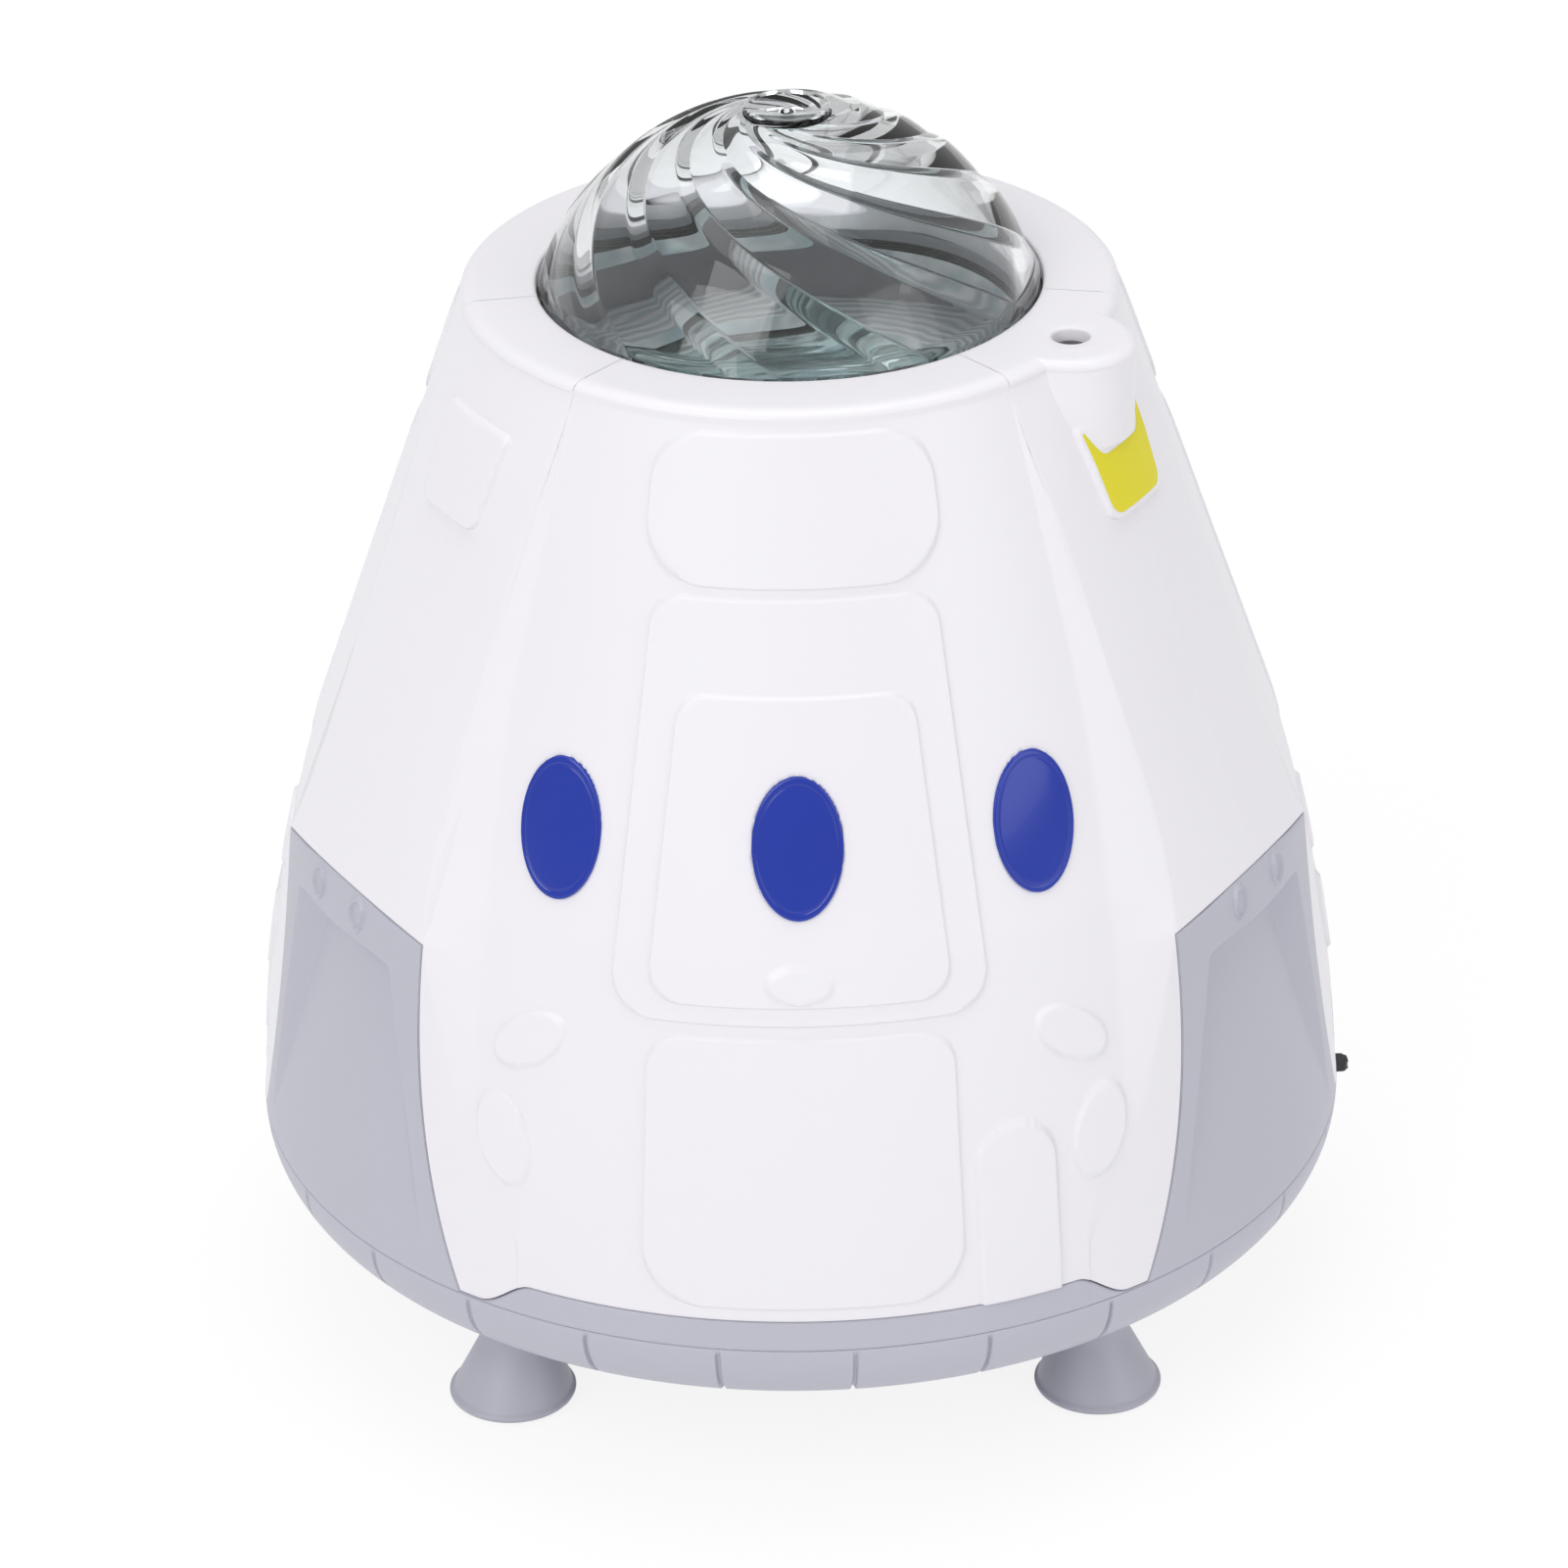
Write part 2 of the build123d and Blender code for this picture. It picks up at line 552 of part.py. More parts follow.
def make_lower_shell(capsule):
    """Grey crown: three scooped panels on a band with a lip inside the upper shell."""
    zone = grey_zone()
    inner = side_body(-GREY_WALL)
    skin = (capsule & zone) - inner
    scoop = prism(scoop_outline()) - scoop_floor()
    backing = (prism(scoop_outline(SCOOP_BACK)) - scoop_floor(SCOOP_BACK)) & side_body(-GREY_WALL / 2)
    ovals = Part()
    for side in (-1, 1):
        outline = Pos(side * OVAL_SPREAD, 0) * ellipse_outline(*OVAL_SIZE, OVAL_RISE)
        ovals += prism(outline)
    ovals = (ovals & side_body(0.45)) - side_body(-1)
    for azimuth in SIDE_AZIMUTHS:
        skin += spun(backing, azimuth)
        skin -= spun(scoop, azimuth)
        skin += spun(ovals, azimuth)
    skin += tube(LIP_OUTER, LIP_INNER, SEAM_Z, SEAM_Z + LIP_RISE)
    filler = (capsule & zone) & tube(REACH, LIP_INNER, SEAM_Z, SEAM_Z + BAND_RISE)
    skin += filler
    skin -= rod(LIP_INNER, SEAM_Z - 1, SEAM_Z + BAND_RISE)
    for azimuth in FACE_AZIMUTHS:
        axis = (0, -SHELL_SCREW_CIRCLE)
        tab = block((-4.5, 4.5), (-LIP_INNER - 0.5, axis[1]), (SEAM_Z + 7.3, SEAM_Z + LIP_RISE))
        tab += rod(4.5, SEAM_Z + 7.3, SEAM_Z + LIP_RISE, axis)
        tab -= rod(SCREW_RADIUS + SCREW_GAP, SEAM_Z, SEAM_Z + 12, axis)
        skin += spun(tab, azimuth)
    for azimuth in TRAY_SCREW_AZIMUTHS:
        post = rod(POST_RADIUS, SEAM_Z + TRAY_RIM_RISE + FIT_GAP, SEAM_Z + 12, (0, -TRAY_SCREW_CIRCLE))
        post += block(
            (-POST_RADIUS, POST_RADIUS),
            (-LIP_INNER - 0.5, -TRAY_SCREW_CIRCLE),
            (SEAM_Z + TRAY_RIM_RISE + FIT_GAP, SEAM_Z + LIP_RISE),
        )
        post -= rod(SCREW_RADIUS + SCREW_GAP, SEAM_Z, SEAM_Z + 11, (0, -TRAY_SCREW_CIRCLE))
        skin += spun(post, azimuth)
    return skin


# ================================================================ tray and feet
def tray_outer_radius(fall):
    """Outer radius of the tray at a depth below the seam."""
    return SEAM_RADIUS - TRAY_ROUND + sqrt(TRAY_ROUND**2 - (fall + TRAY_ROUND_RISE) ** 2)


def tray_profile(inset=0.0):
    """Bowl outline of the tray: straight rim, round flank, flat underside."""
    centre = (SEAM_RADIUS - TRAY_ROUND, SEAM_Z + TRAY_ROUND_RISE)
    radius = TRAY_ROUND - inset
    side = (centre[0] + radius, centre[1])
    diagonal = (centre[0] + radius * cos(pi / 4), centre[1] - radius * sin(pi / 4))
    low = (centre[0], centre[1] - radius)
    return turned(
        Line((0, SEAM_Z), (side[0], SEAM_Z)),
        Line((side[0], SEAM_Z), side),
        ThreePointArc(side, diagonal, low),
        Line(low, (0, low[1])),
        Line((0, low[1]), (0, SEAM_Z)),
    )


def make_base_tray():
    """Grey bowl with the grooved flank, posts, switch slot and inlet hole."""
    tray = tray_profile() - tray_profile(TRAY_WALL)
    rim_inner = TRAY_RIM_INNER
    tray += tube(SEAM_RADIUS - 0.6, rim_inner, SEAM_Z - 2.2, SEAM_Z)
    tray += tube(LIP_INNER - FIT_GAP, rim_inner, SEAM_Z - 2.2, SEAM_Z + TRAY_RIM_RISE)
    groove = block((-GROOVE_WIDTH / 2, GROOVE_WIDTH / 2), (-REACH, 0), (0, SEAM_Z - 0.9))
    groove -= tray_profile(GROOVE_DEPTH)
    for index in range(GROOVE_COUNT):
        tray -= spun(groove, GROOVE_PHASE + index * 360.0 / GROOVE_COUNT)
    inside = tray_profile(TRAY_WALL / 2)
    for azimuth in TRAY_SCREW_AZIMUTHS:
        post = rod(POST_RADIUS, SEAM_Z - TRAY_DEPTH, SEAM_Z + TRAY_RIM_RISE, (0, -TRAY_SCREW_CIRCLE)) & inside
        tray += spun(post, azimuth)
        tray -= rod_at(SCREW_RADIUS + SCREW_GAP, 0, SEAM_Z + 5, TRAY_SCREW_CIRCLE, azimuth)
        tray -= rod_at(SCREW_HEAD_RADIUS + 0.3, 0, SEAM_Z - 5, TRAY_SCREW_CIRCLE, azimuth)
    for x, y in board_holes():
        tray += tube(BOARD_POST_RADIUS, SCREW_RADIUS + SCREW_GAP, TRAY_FLOOR_Z - 0.5, board_low_z(), (x, y))
    for azimuth in FOOT_AZIMUTHS:
        place = foot_top(azimuth)
        tray -= rod(SCREW_RADIUS + SCREW_GAP, SEAM_Z - TRAY_DEPTH - 1, SEAM_Z, (place.X, place.Y))
    slot_z = SEAM_Z - SWITCH_FALL
    slot_half = (KNOB_SIZE[0] + KNOB_TRAVEL) / 2 + SLOT_GAP
    slot_high = KNOB_SIZE[1] / 2 + SLOT_GAP
    slot = block((-slot_half, slot_half), (-REACH, -KNOB_ROOT), (slot_z - slot_high, slot_z + slot_high))
    tray -= spun(slot, SWITCH_AZIMUTH)
    seat = block(
        (-SWITCH_BODY[0] / 2, SWITCH_BODY[0] / 2),
        (-SWITCH_FRONT + 0.4, -SWITCH_FRONT + SWITCH_BODY[1]),
        (TRAY_FLOOR_Z - 0.5, slot_z - SWITCH_BODY[2] / 2),
    )
    tray += spun(seat, SWITCH_AZIMUTH)
    hole = Pos(0, TRAY_RIM_INNER - 7, SEAM_Z - JACK_FALL) * Rot(-90, 0, 0) * Cylinder(
        JACK_NOSE_RADIUS + FIT_GAP, 30, align=(Align.CENTER, Align.CENTER, Align.MIN)
    )
    return tray - hole


def foot_top(azimuth):
    """Where a leaning foot meets the underside of the tray."""
    rise = SEAM_Z - TRAY_DEPTH
    return polar(FOOT_CIRCLE - rise * tan(radians(FOOT_LEAN)), azimuth, rise)


def make_foot(azimuth):
    """Flared foot that leans towards the axis, with a recess for its rubber pad."""
    top_z = SEAM_Z - TRAY_DEPTH
    cone = turned_polygon(
        (0, -3), (FOOT_RADIUS + 1.2, -3), FOOT_WAIST, FOOT_NECK, (FOOT_NECK[0], top_z + 4), (0, top_z + 4)
    )
    leaning = Pos(0, -FOOT_CIRCLE, 0) * Rot(-FOOT_LEAN, 0, 0) * cone
    leaning &= block((-REACH, REACH), (-REACH, 0), (FOOT_LIFT, top_z))
    leaning -= rod(PAD_RADIUS + PAD_FIT, 0, FOOT_LIFT + PAD_RECESS, (0, -FOOT_CIRCLE))
    centre = foot_top(0)
    leaning -= rod(SCREW_RADIUS + SCREW_GAP, top_z - 8, top_z + 1, (centre.X, centre.Y))
    return spun(leaning, azimuth)


def make_foot_pad(azimuth):
    """Rubber disc under a foot; it stands on the floor."""
    pad = rod(PAD_RADIUS, 0, FOOT_LIFT + PAD_RECESS, (0, -FOOT_CIRCLE))
    return spun(pad, azimuth)


# ================================================================ dome
def dome_sphere():
    """Radius of the dome's sphere and the height of its centre."""
    sphere = (DOME_RADIUS**2 + DOME_RISE**2) / (2 * DOME_RISE)
    return sphere, RING_Z + DOME_RISE - sphere


def spiral_step(radius):
    """Parameter of the rhumb line at a radius: log of the tangent of half the angle from the pole."""
    sphere, _ = dome_sphere()
    angle = asin(radius / sphere)
    return log(tan(angle / 2))


def vane_section(step):
    """One section of the fluted dome: arcs between ridges, turned along the rhumb line."""
    sphere, centre_z = dome_sphere()
    angle = 2 * atan(exp(step))
    radius = sphere * sin(angle)
    height = centre_z + sphere * cos(angle)
    turn = DOME_PHASE + DOME_TWIST * (step - spiral_step(DOME_RADIUS))
    pitch = 360.0 / DOME_VANES
    depth = min(VANE_DEPTH, 0.04 * radius)
    arcs = []
    for index in range(DOME_VANES):
        ridge = turn + index * pitch
        hollow = polar(radius - depth, ridge + pitch / 2, height)
        arcs.append(ThreePointArc(polar(radius, ridge, height), hollow, polar(radius, ridge + pitch, height)))
    return make_face(Wire(arcs))


def make_dome_lens():
    """Clear dome whose outer face is ten flutes swirling from a boss to the rim."""
    rim_step = spiral_step(DOME_RADIUS)
    boss_step = spiral_step(DOME_BOSS_RADIUS - 0.4)
    stride = (boss_step - rim_step) / (DOME_SECTIONS - 1)
    cap = loft([vane_section(rim_step + index * stride) for index in range(DOME_SECTIONS)])
    _, centre_z = dome_sphere()
    bore_sphere = sqrt(DOME_BORE**2 + (RING_Z - centre_z) ** 2)
    hollow = (Pos(0, 0, centre_z) * Sphere(bore_sphere)) & rod(REACH, RING_Z - 0.5, RING_Z + REACH)
    low = CEILING_Z - DOME_FLANGE_THICK
    neck = DOME_RADIUS - VANE_DEPTH - 0.1
    flange = turned_polygon(
        (DOME_BORE, low),
        (DOME_FLANGE, low),
        (DOME_FLANGE, CEILING_Z),
        (neck, CEILING_Z),
        (neck, RING_Z + 0.2),
        (DOME_BORE, RING_Z + 0.2),
    )
    boss_top = RING_Z + DOME_RISE + DOME_BOSS_PROUD
    boss = rod(DOME_BOSS_RADIUS, boss_top - 2.2, boss_top)
    dish = Pos(0, 0, boss_top + 7.5) * Sphere(9.0)
    nub = Pos(0, 0, boss_top - 1.4) * Sphere(1.0)
    return ((cap - hollow) + flange + boss) - dish + nub


def make_dome_clamp():
    """Ring with three ears that holds the dome's flange against the top wall."""
    top = CEILING_Z - DOME_FLANGE_THICK
    ring = rod(CLAMP_OUTER, top - CLAMP_THICK, top)
    for azimuth in CLAMP_SCREW_AZIMUTHS:
        ring += rod_at(CLAMP_EAR - 0.3, top - CLAMP_THICK, top, CLAMP_SCREW_CIRCLE, azimuth)
        ring -= rod_at(SMALL_SCREW_RADIUS + SCREW_GAP, 0, RING_Z, CLAMP_SCREW_CIRCLE, azimuth)
    return ring - rod(DOME_BORE, 0, RING_Z)


def make_porthole(azimuth):
    """Blue window of the front face: an elliptical plug in the wall with a flange behind it."""
    plug = porthole_prism(azimuth, -PORTHOLE_GAP)
    proud = RELIEF * 2 if azimuth == 0 else 0.0
    plug &= face_body(proud + PORTHOLE_PROUD)
    plug -= face_body(-SHELL_WALL - PORTHOLE_LIP_DEPTH)
    lip = porthole_prism(azimuth, PORTHOLE_LIP) & face_body(-SHELL_WALL - 0.02)
    lip -= face_body(-SHELL_WALL - PORTHOLE_LIP_DEPTH)
    return plug + lip


# ================================================================ projector deck and rotor
def gear_blank(teeth, z_low, z_high, phase=0.0):
    """A spur gear with straight-flanked teeth about the Z axis."""
    pitch_radius = GEAR_MODULE * teeth / 2
    root = pitch_radius - 1.25 * GEAR_MODULE
    tip = pitch_radius + GEAR_MODULE
    step = 360.0 / teeth
    points = []
    for index in range(teeth):
        middle = phase + index * step
        flanks = (
            (root, -TOOTH_FOOT_SHARE),
            (tip, -TOOTH_TIP_SHARE),
            (tip, TOOTH_TIP_SHARE),
            (root, TOOTH_FOOT_SHARE),
        )
        for radius, share in flanks:
            point = polar(radius, middle + share * step)
            points.append((point.X, point.Y))
    outline = make_face(Polyline(*points, close=True).edges())
    return Pos(0, 0, z_low) * extrude(outline, z_high - z_low)


def ring_pitch_radius():
    return GEAR_MODULE * RING_TEETH / 2


def pinion_circle():
    """Distance from the axis to the pinion's shaft."""
    return GEAR_MODULE * (RING_TEETH + PINION_TEETH) / 2


def make_deck():
    """Round deck with the light opening, the rotor's collar and the fixing holes."""
    deck = rod(DECK_RADIUS, DECK_Z, DECK_TOP_Z)
    deck += rod(COLLAR_RADIUS, DECK_TOP_Z, DECK_TOP_Z + COLLAR_RISE)
    deck -= rod(LIGHT_BORE, DECK_Z - 1, DECK_TOP_Z + COLLAR_RISE + 1)
    deck -= rod_at(LASER_RADIUS + LASER_FIT, DECK_Z - 1, DECK_TOP_Z + 1, LASER_CIRCLE, LASER_AZIMUTH)
    deck -= rod_at(3.8, DECK_Z - 1, DECK_TOP_Z + 1, pinion_circle(), PINION_AZIMUTH)
    for azimuth in FACE_AZIMUTHS:
        deck -= rod_at(SCREW_RADIUS + SCREW_GAP, DECK_Z - 1, DECK_TOP_Z + 1, DECK_BOSS_CIRCLE, azimuth)
        deck -= rod_at(SMALL_SCREW_RADIUS + SCREW_GAP, DECK_Z - 1, DECK_TOP_Z + 0.1, CUP_EAR_CIRCLE, azimuth)
    for azimuth in COVER_POST_AZIMUTHS:
        deck -= rod_at(SMALL_SCREW_RADIUS + SCREW_GAP, DECK_Z - 1, DECK_TOP_Z + 1, COVER_POST_CIRCLE, azimuth)
    for place in motor_screw_places():
        deck -= rod(SMALL_SCREW_RADIUS + SCREW_GAP, DECK_Z - 1, DECK_TOP_Z + 1, (place.X, place.Y))
    return deck


def make_rotor_gear():
    """Toothed ring that turns on the deck's collar and carries the ripple disc."""
    low = DECK_TOP_Z + ROTOR_LIFT
    teeth_low = DECK_TOP_Z + GEAR_LIFT
    ring = gear_blank(RING_TEETH, teeth_low, teeth_low + GEAR_FACE)
    root = ring_pitch_radius() - 1.25 * GEAR_MODULE
    ring += rod(root, low, DECK_TOP_Z + ROTOR_RISE)
    return ring - rod(COLLAR_RADIUS + RUNNING_FIT, DECK_Z, DECK_TOP_Z + ROTOR_RISE + 1)


def make_ripple_disc():
    """Clear disc with concentric waves on its upper face."""
    low = DECK_TOP_Z + ROTOR_RISE
    top = low + RIPPLE_THICK
    disc = rod(RIPPLE_RADIUS, low, top)
    for radius in (7.0, 12.0, 17.0, 22.0, 27.0):
        disc -= Pos(0, 0, top + 0.35) * Torus(radius, 0.9)
    return disc


def cover_span():
    """Lower and upper height of the rotor's cover plate."""
    low = DECK_TOP_Z + ROTOR_RISE + RIPPLE_THICK + COVER_GAP
    return low, low + COVER_THICK


def make_rotor_cover():
    """Plate over the gears on three posts, with a lobe that carries the star motor."""
    low, top = cover_span()
    plate = rod(COVER_RADIUS, low, top)
    lobe_centre = (STAR_AXIS_CIRCLE + LASER_CIRCLE) / 2
    plate += rod_at(6.6, low, top, lobe_centre, LASER_AZIMUTH)
    plate -= rod(COVER_BORE, low - 1, top + 1)
    for azimuth in COVER_POST_AZIMUTHS:
        plate += rod_at(COVER_POST_RADIUS, DECK_TOP_Z, low, COVER_POST_CIRCLE, azimuth)
        plate -= rod_at(SMALL_SCREW_RADIUS + SCREW_GAP, DECK_Z, DECK_TOP_Z + 6, COVER_POST_CIRCLE, azimuth)
    plate -= rod_at(LASER_RADIUS + LASER_FIT, low - 1, top + 1, LASER_CIRCLE, LASER_AZIMUTH)
    plate -= rod_at(STAR_SHAFT_RADIUS + 0.5, low - 1, top + 1, STAR_AXIS_CIRCLE, LASER_AZIMUTH)
    return plate


def motor_screw_places():
    """Two screws beside the drive motor, across its radius."""
    centre = polar(pinion_circle(), PINION_AZIMUTH)
    across = polar(1, PINION_AZIMUTH + 90)
    return [centre + across * (side * MOTOR_EAR_SPREAD) for side in (-1, 1)]


def make_drive_motor():
    """Small geared motor under the deck: can, ears, nose and end cap."""
    centre = polar(pinion_circle(), PINION_AZIMUTH)
    at = (centre.X, centre.Y)
    motor = rod(MOTOR_RADIUS, DECK_Z - MOTOR_LENGTH, DECK_Z, at)
    motor += rod(MOTOR_RADIUS * 0.55, DECK_Z - MOTOR_LENGTH - 1.6, DECK_Z - MOTOR_LENGTH, at)
    motor += rod(3.4, DECK_Z, DECK_Z + DECK_THICK - 0.6, at)
    for place in motor_screw_places():
        motor += rod(MOTOR_EAR_RADIUS, DECK_Z - MOTOR_EAR_THICK, DECK_Z, (place.X, place.Y))
    span = (centre.X - MOTOR_EAR_SPREAD, centre.X + MOTOR_EAR_SPREAD)
    half = MOTOR_EAR_RADIUS
    motor += block(span, (centre.Y - half, centre.Y + half), (DECK_Z - MOTOR_EAR_THICK, DECK_Z))
    for place in motor_screw_places():
        motor -= rod(SMALL_SCREW_RADIUS + SCREW_GAP, DECK_Z - 5, DECK_Z + 1, (place.X, place.Y))
    return motor - rod(SHAFT_RADIUS + RUNNING_FIT, DECK_Z - 6, DECK_TOP_Z, at)


def make_motor_shaft():
    """Steel output shaft of the drive motor."""
    centre = polar(pinion_circle(), PINION_AZIMUTH)
    return rod(SHAFT_RADIUS, DECK_Z - 5.5, DECK_TOP_Z + GEAR_LIFT + GEAR_FACE + 0.6, (centre.X, centre.Y))


def make_drive_pinion():
    """Pinion in mesh with the rotor's ring of teeth."""
    low = DECK_TOP_Z + GEAR_LIFT
    facing = PINION_AZIMUTH + 180
    gear = gear_blank(PINION_TEETH, low, low + GEAR_FACE, facing + 180.0 / PINION_TEETH)
    gear -= rod(SHAFT_RADIUS + 0.02, low - 1, low + GEAR_FACE + 1)
    return Pos(polar(pinion_circle(), PINION_AZIMUTH)) * gear


# ================================================================ star laser
def make_laser_barrel():
    """Brass barrel of the star laser with a stepped nose and an open front."""
    foot, top = SEAM_Z + LASER_FOOT, SEAM_Z + LASER_TOP
    barrel = rod(LASER_RADIUS, foot, top - 2.0) + rod(LASER_RADIUS - 0.6, top - 2.0, top)
    barrel -= rod(2.4, top - 3.2, top + 1)
    barrel -= rod(1.0, top - 8, top)
    centre = polar(LASER_CIRCLE, LASER_AZIMUTH)
    return Pos(centre) * barrel


def make_laser_lens():
    """Collimating lens seated in the barrel's nose."""
    top = SEAM_Z + LASER_TOP
    lens = rod(2.3, top - 3.2, top - 2.0)
    lens += (Pos(0, 0, top - 4.2) * Sphere(3.2)) & rod(2.3, top - 2.0, top)
    return Pos(polar(LASER_CIRCLE, LASER_AZIMUTH)) * lens


def make_laser_clamp():
    """Split collar under the deck that grips the laser barrel."""
    collar = tube(LASER_CLAMP_RADIUS, LASER_RADIUS + 0.05, DECK_Z - LASER_CLAMP_HEIGHT, DECK_Z)
    collar -= block((-0.6, 0.6), (-10, 0), (DECK_Z - LASER_CLAMP_HEIGHT - 1, DECK_Z + 1))
    return Pos(polar(LASER_CIRCLE, LASER_AZIMUTH)) * collar.rotate(Axis.Z, LASER_AZIMUTH + 90)


def make_star_motor():
    """Slim motor hanging from the cover plate."""
    low, _ = cover_span()
    motor = rod(STAR_MOTOR_RADIUS, DECK_TOP_Z + 0.3, low)
    motor -= rod(STAR_SHAFT_RADIUS + RUNNING_FIT, low - 3.5, low + 1)
    return Pos(polar(STAR_AXIS_CIRCLE, LASER_AZIMUTH)) * motor


def make_star_shaft():
    """Shaft and hub that carry the star disc."""
    low, top = cover_span()
    hub_low = top + 1.6
    shaft = rod(STAR_SHAFT_RADIUS, low - 3.0, hub_low + 0.1)
    shaft += rod(2.2, hub_low, hub_low + 2.4)
    return Pos(polar(STAR_AXIS_CIRCLE, LASER_AZIMUTH)) * shaft


def make_star_disc():
    """Dark grating disc that turns above the laser and breaks its beam into stars."""
    _, top = cover_span()
    low = top + 4.0
    disc = rod(STAR_DISC_RADIUS, low, low + STAR_DISC_THICK)
    return Pos(polar(STAR_AXIS_CIRCLE, LASER_AZIMUTH)) * disc


def make_laser_window():
    """Clear window glued under the laser aperture."""
    return rod_at(LASER_APERTURE + 1.0, CEILING_Z - 1.2, CEILING_Z, LASER_CIRCLE, LASER_AZIMUTH)


# ================================================================ lamp
def make_reflector_cup():
    """Conical reflector with ears for the deck and posts for the heat sink."""
    top = DECK_Z - SEAM_Z
    foot = CUP_FOOT[1]
    outer = turned_polygon(
        (0, SEAM_Z + foot - CUP_PLATE),
        (CUP_FOOT[0] + 4.0, SEAM_Z + foot - CUP_PLATE),
        (CUP_FOOT[0] + 4.0, SEAM_Z + foot),
        (LIGHT_BORE + CUP_WALL, SEAM_Z + top),
        (0, SEAM_Z + top),
    )
    ear_span = (DECK_Z - CUP_EAR_THICK, DECK_Z)
    for azimuth in FACE_AZIMUTHS:
        ear = rod_at(CUP_EAR_RADIUS, *ear_span, CUP_EAR_CIRCLE, azimuth)
        ear += spun(block((-CUP_EAR_RADIUS, CUP_EAR_RADIUS), (-CUP_EAR_CIRCLE, -20), ear_span), azimuth)
        ear -= rod_at(SMALL_SCREW_RADIUS + SCREW_GAP, DECK_Z - 5, DECK_Z + 1, CUP_EAR_CIRCLE, azimuth)
        outer += ear
    for azimuth in sink_screw_azimuths():
        post = rod_at(SINK_POST_RADIUS, sink_top_z(), SEAM_Z + 96.0, SINK_POST_CIRCLE, azimuth)
        outer += post
    inner = turned_polygon(
        (0, SEAM_Z + foot),
        (CUP_FOOT[0], SEAM_Z + foot),
        (LIGHT_BORE, SEAM_Z + top),
        (LIGHT_BORE, SEAM_Z + top + 1),
        (0, SEAM_Z + top + 1),
    )
    cup = outer - inner - rod(LED_HOLE, SEAM_Z, SEAM_Z + foot + 1)
    cup -= rod(LENS_RADIUS + PAD_FIT, SEAM_Z + LENS_SEAT_RISE, SEAM_Z + LENS_SEAT_RISE + 1.2)
    for azimuth in sink_screw_azimuths():
        hole_span = (sink_top_z() - 1, sink_top_z() + 7)
        cup -= rod_at(SMALL_SCREW_RADIUS + SCREW_GAP, *hole_span, SINK_POST_CIRCLE, azimuth)
    return cup


def sink_screw_azimuths():
    return [azimuth + 30 for azimuth in FACE_AZIMUTHS]


def sink_top_z():
    """Upper face of the heat sink, under the lamp board."""
    return SEAM_Z + CUP_FOOT[1] - CUP_PLATE - LED_BOARD_THICK


def make_condenser_lens():
    """Plano-convex lens on the ledge inside the reflector."""
    low = SEAM_Z + LENS_SEAT_RISE
    edge = low + LENS_EDGE
    sphere = (LENS_RADIUS**2 + LENS_CROWN**2) / (2 * LENS_CROWN)
    crown = (Pos(0, 0, edge + LENS_CROWN - sphere) * Sphere(sphere)) & rod(LENS_RADIUS, edge, edge + 10)
    straight = min(LENS_EDGE, 0.35)
    return rod(LENS_RADIUS, low, low + straight) + rod(LENS_RADIUS, low + straight, edge) + crown


def make_led_board():
    """Round aluminium board with the lamp's pads."""
    board = rod(LED_BOARD_RADIUS, sink_top_z(), sink_top_z() + LED_BOARD_THICK)
    for index in range(3):
        board -= rod_at(1.6, sink_top_z() - 1, sink_top_z() + 3, LED_BOARD_RADIUS, 90 + index * 120)
    return board


def make_led():
    """Light-emitting diode: square package with a domed lens."""
    low = sink_top_z() + LED_BOARD_THICK
    package = block((-2.5, 2.5), (-2.5, 2.5), (low, low + 0.8))
    return package + ((Pos(0, 0, low + 0.8) * Sphere(2.3)) & rod(3, low + 0.8, low + 4))


def make_heat_sink():
    """Finned heat sink under the lamp board."""
    top = sink_top_z()
    sink = rod(SINK_RADIUS, top - SINK_PLATE, top)
    sink += rod(SINK_CORE, top - SINK_HEIGHT, top - SINK_PLATE)
    fin = block((-FIN_THICK / 2, FIN_THICK / 2), (-SINK_RADIUS, 0), (top - SINK_HEIGHT, top - SINK_PLATE))
    fin &= rod(SINK_RADIUS, 0, RING_Z)
    for index in range(FIN_COUNT):
        sink += spun(fin, 15 + index * 360.0 / FIN_COUNT)
    for azimuth in sink_screw_azimuths():
        sink -= rod_at(SMALL_SCREW_RADIUS + SCREW_GAP, top - 5, top + 1, SINK_POST_CIRCLE, azimuth)
    return sink


# ================================================================ electronics
def board_holes():
    """Screw holes of the main board."""
    half_x = BOARD_SIZE[0] / 2 - BOARD_HOLE_INSET
    half_y = BOARD_SIZE[1] / 2 - BOARD_HOLE_INSET
    return [(sx * half_x, BOARD_MIDDLE_Y + sy * half_y) for sx in (-1, 1) for sy in (-1, 1)]


def board_low_z():
    return TRAY_FLOOR_Z + BOARD_POST_RISE


def make_main_board():
    """Main circuit board on the tray's posts."""
    low = board_low_z()
    board = Pos(0, BOARD_MIDDLE_Y, low + BOARD_THICK / 2) * Box(*BOARD_SIZE, BOARD_THICK)
    for x, y in board_holes():
        board -= rod(SCREW_RADIUS + SCREW_GAP, low - 1, low + 3, (x, y))
    return board


def make_board_sockets():
    """Four like plug sockets along the board's front edge."""
    top = board_low_z() + BOARD_THICK
    places = (-18, -9, 9, 18)
    front = BOARD_MIDDLE_Y - BOARD_SIZE[1] / 2 + 3
    span_y = (front, front + 5)
    return Compound(children=[block((x - 3.4, x + 3.4), span_y, (top, top + 5.0)) for x in places])


def make_board_capacitors():
    """Two like capacitors at the board's rear left."""
    top = board_low_z() + BOARD_THICK
    rear = BOARD_MIDDLE_Y + 11
    return Compound(children=[rod(3.1, top, top + 7.5, (x, rear)) for x in (-20, -12)])


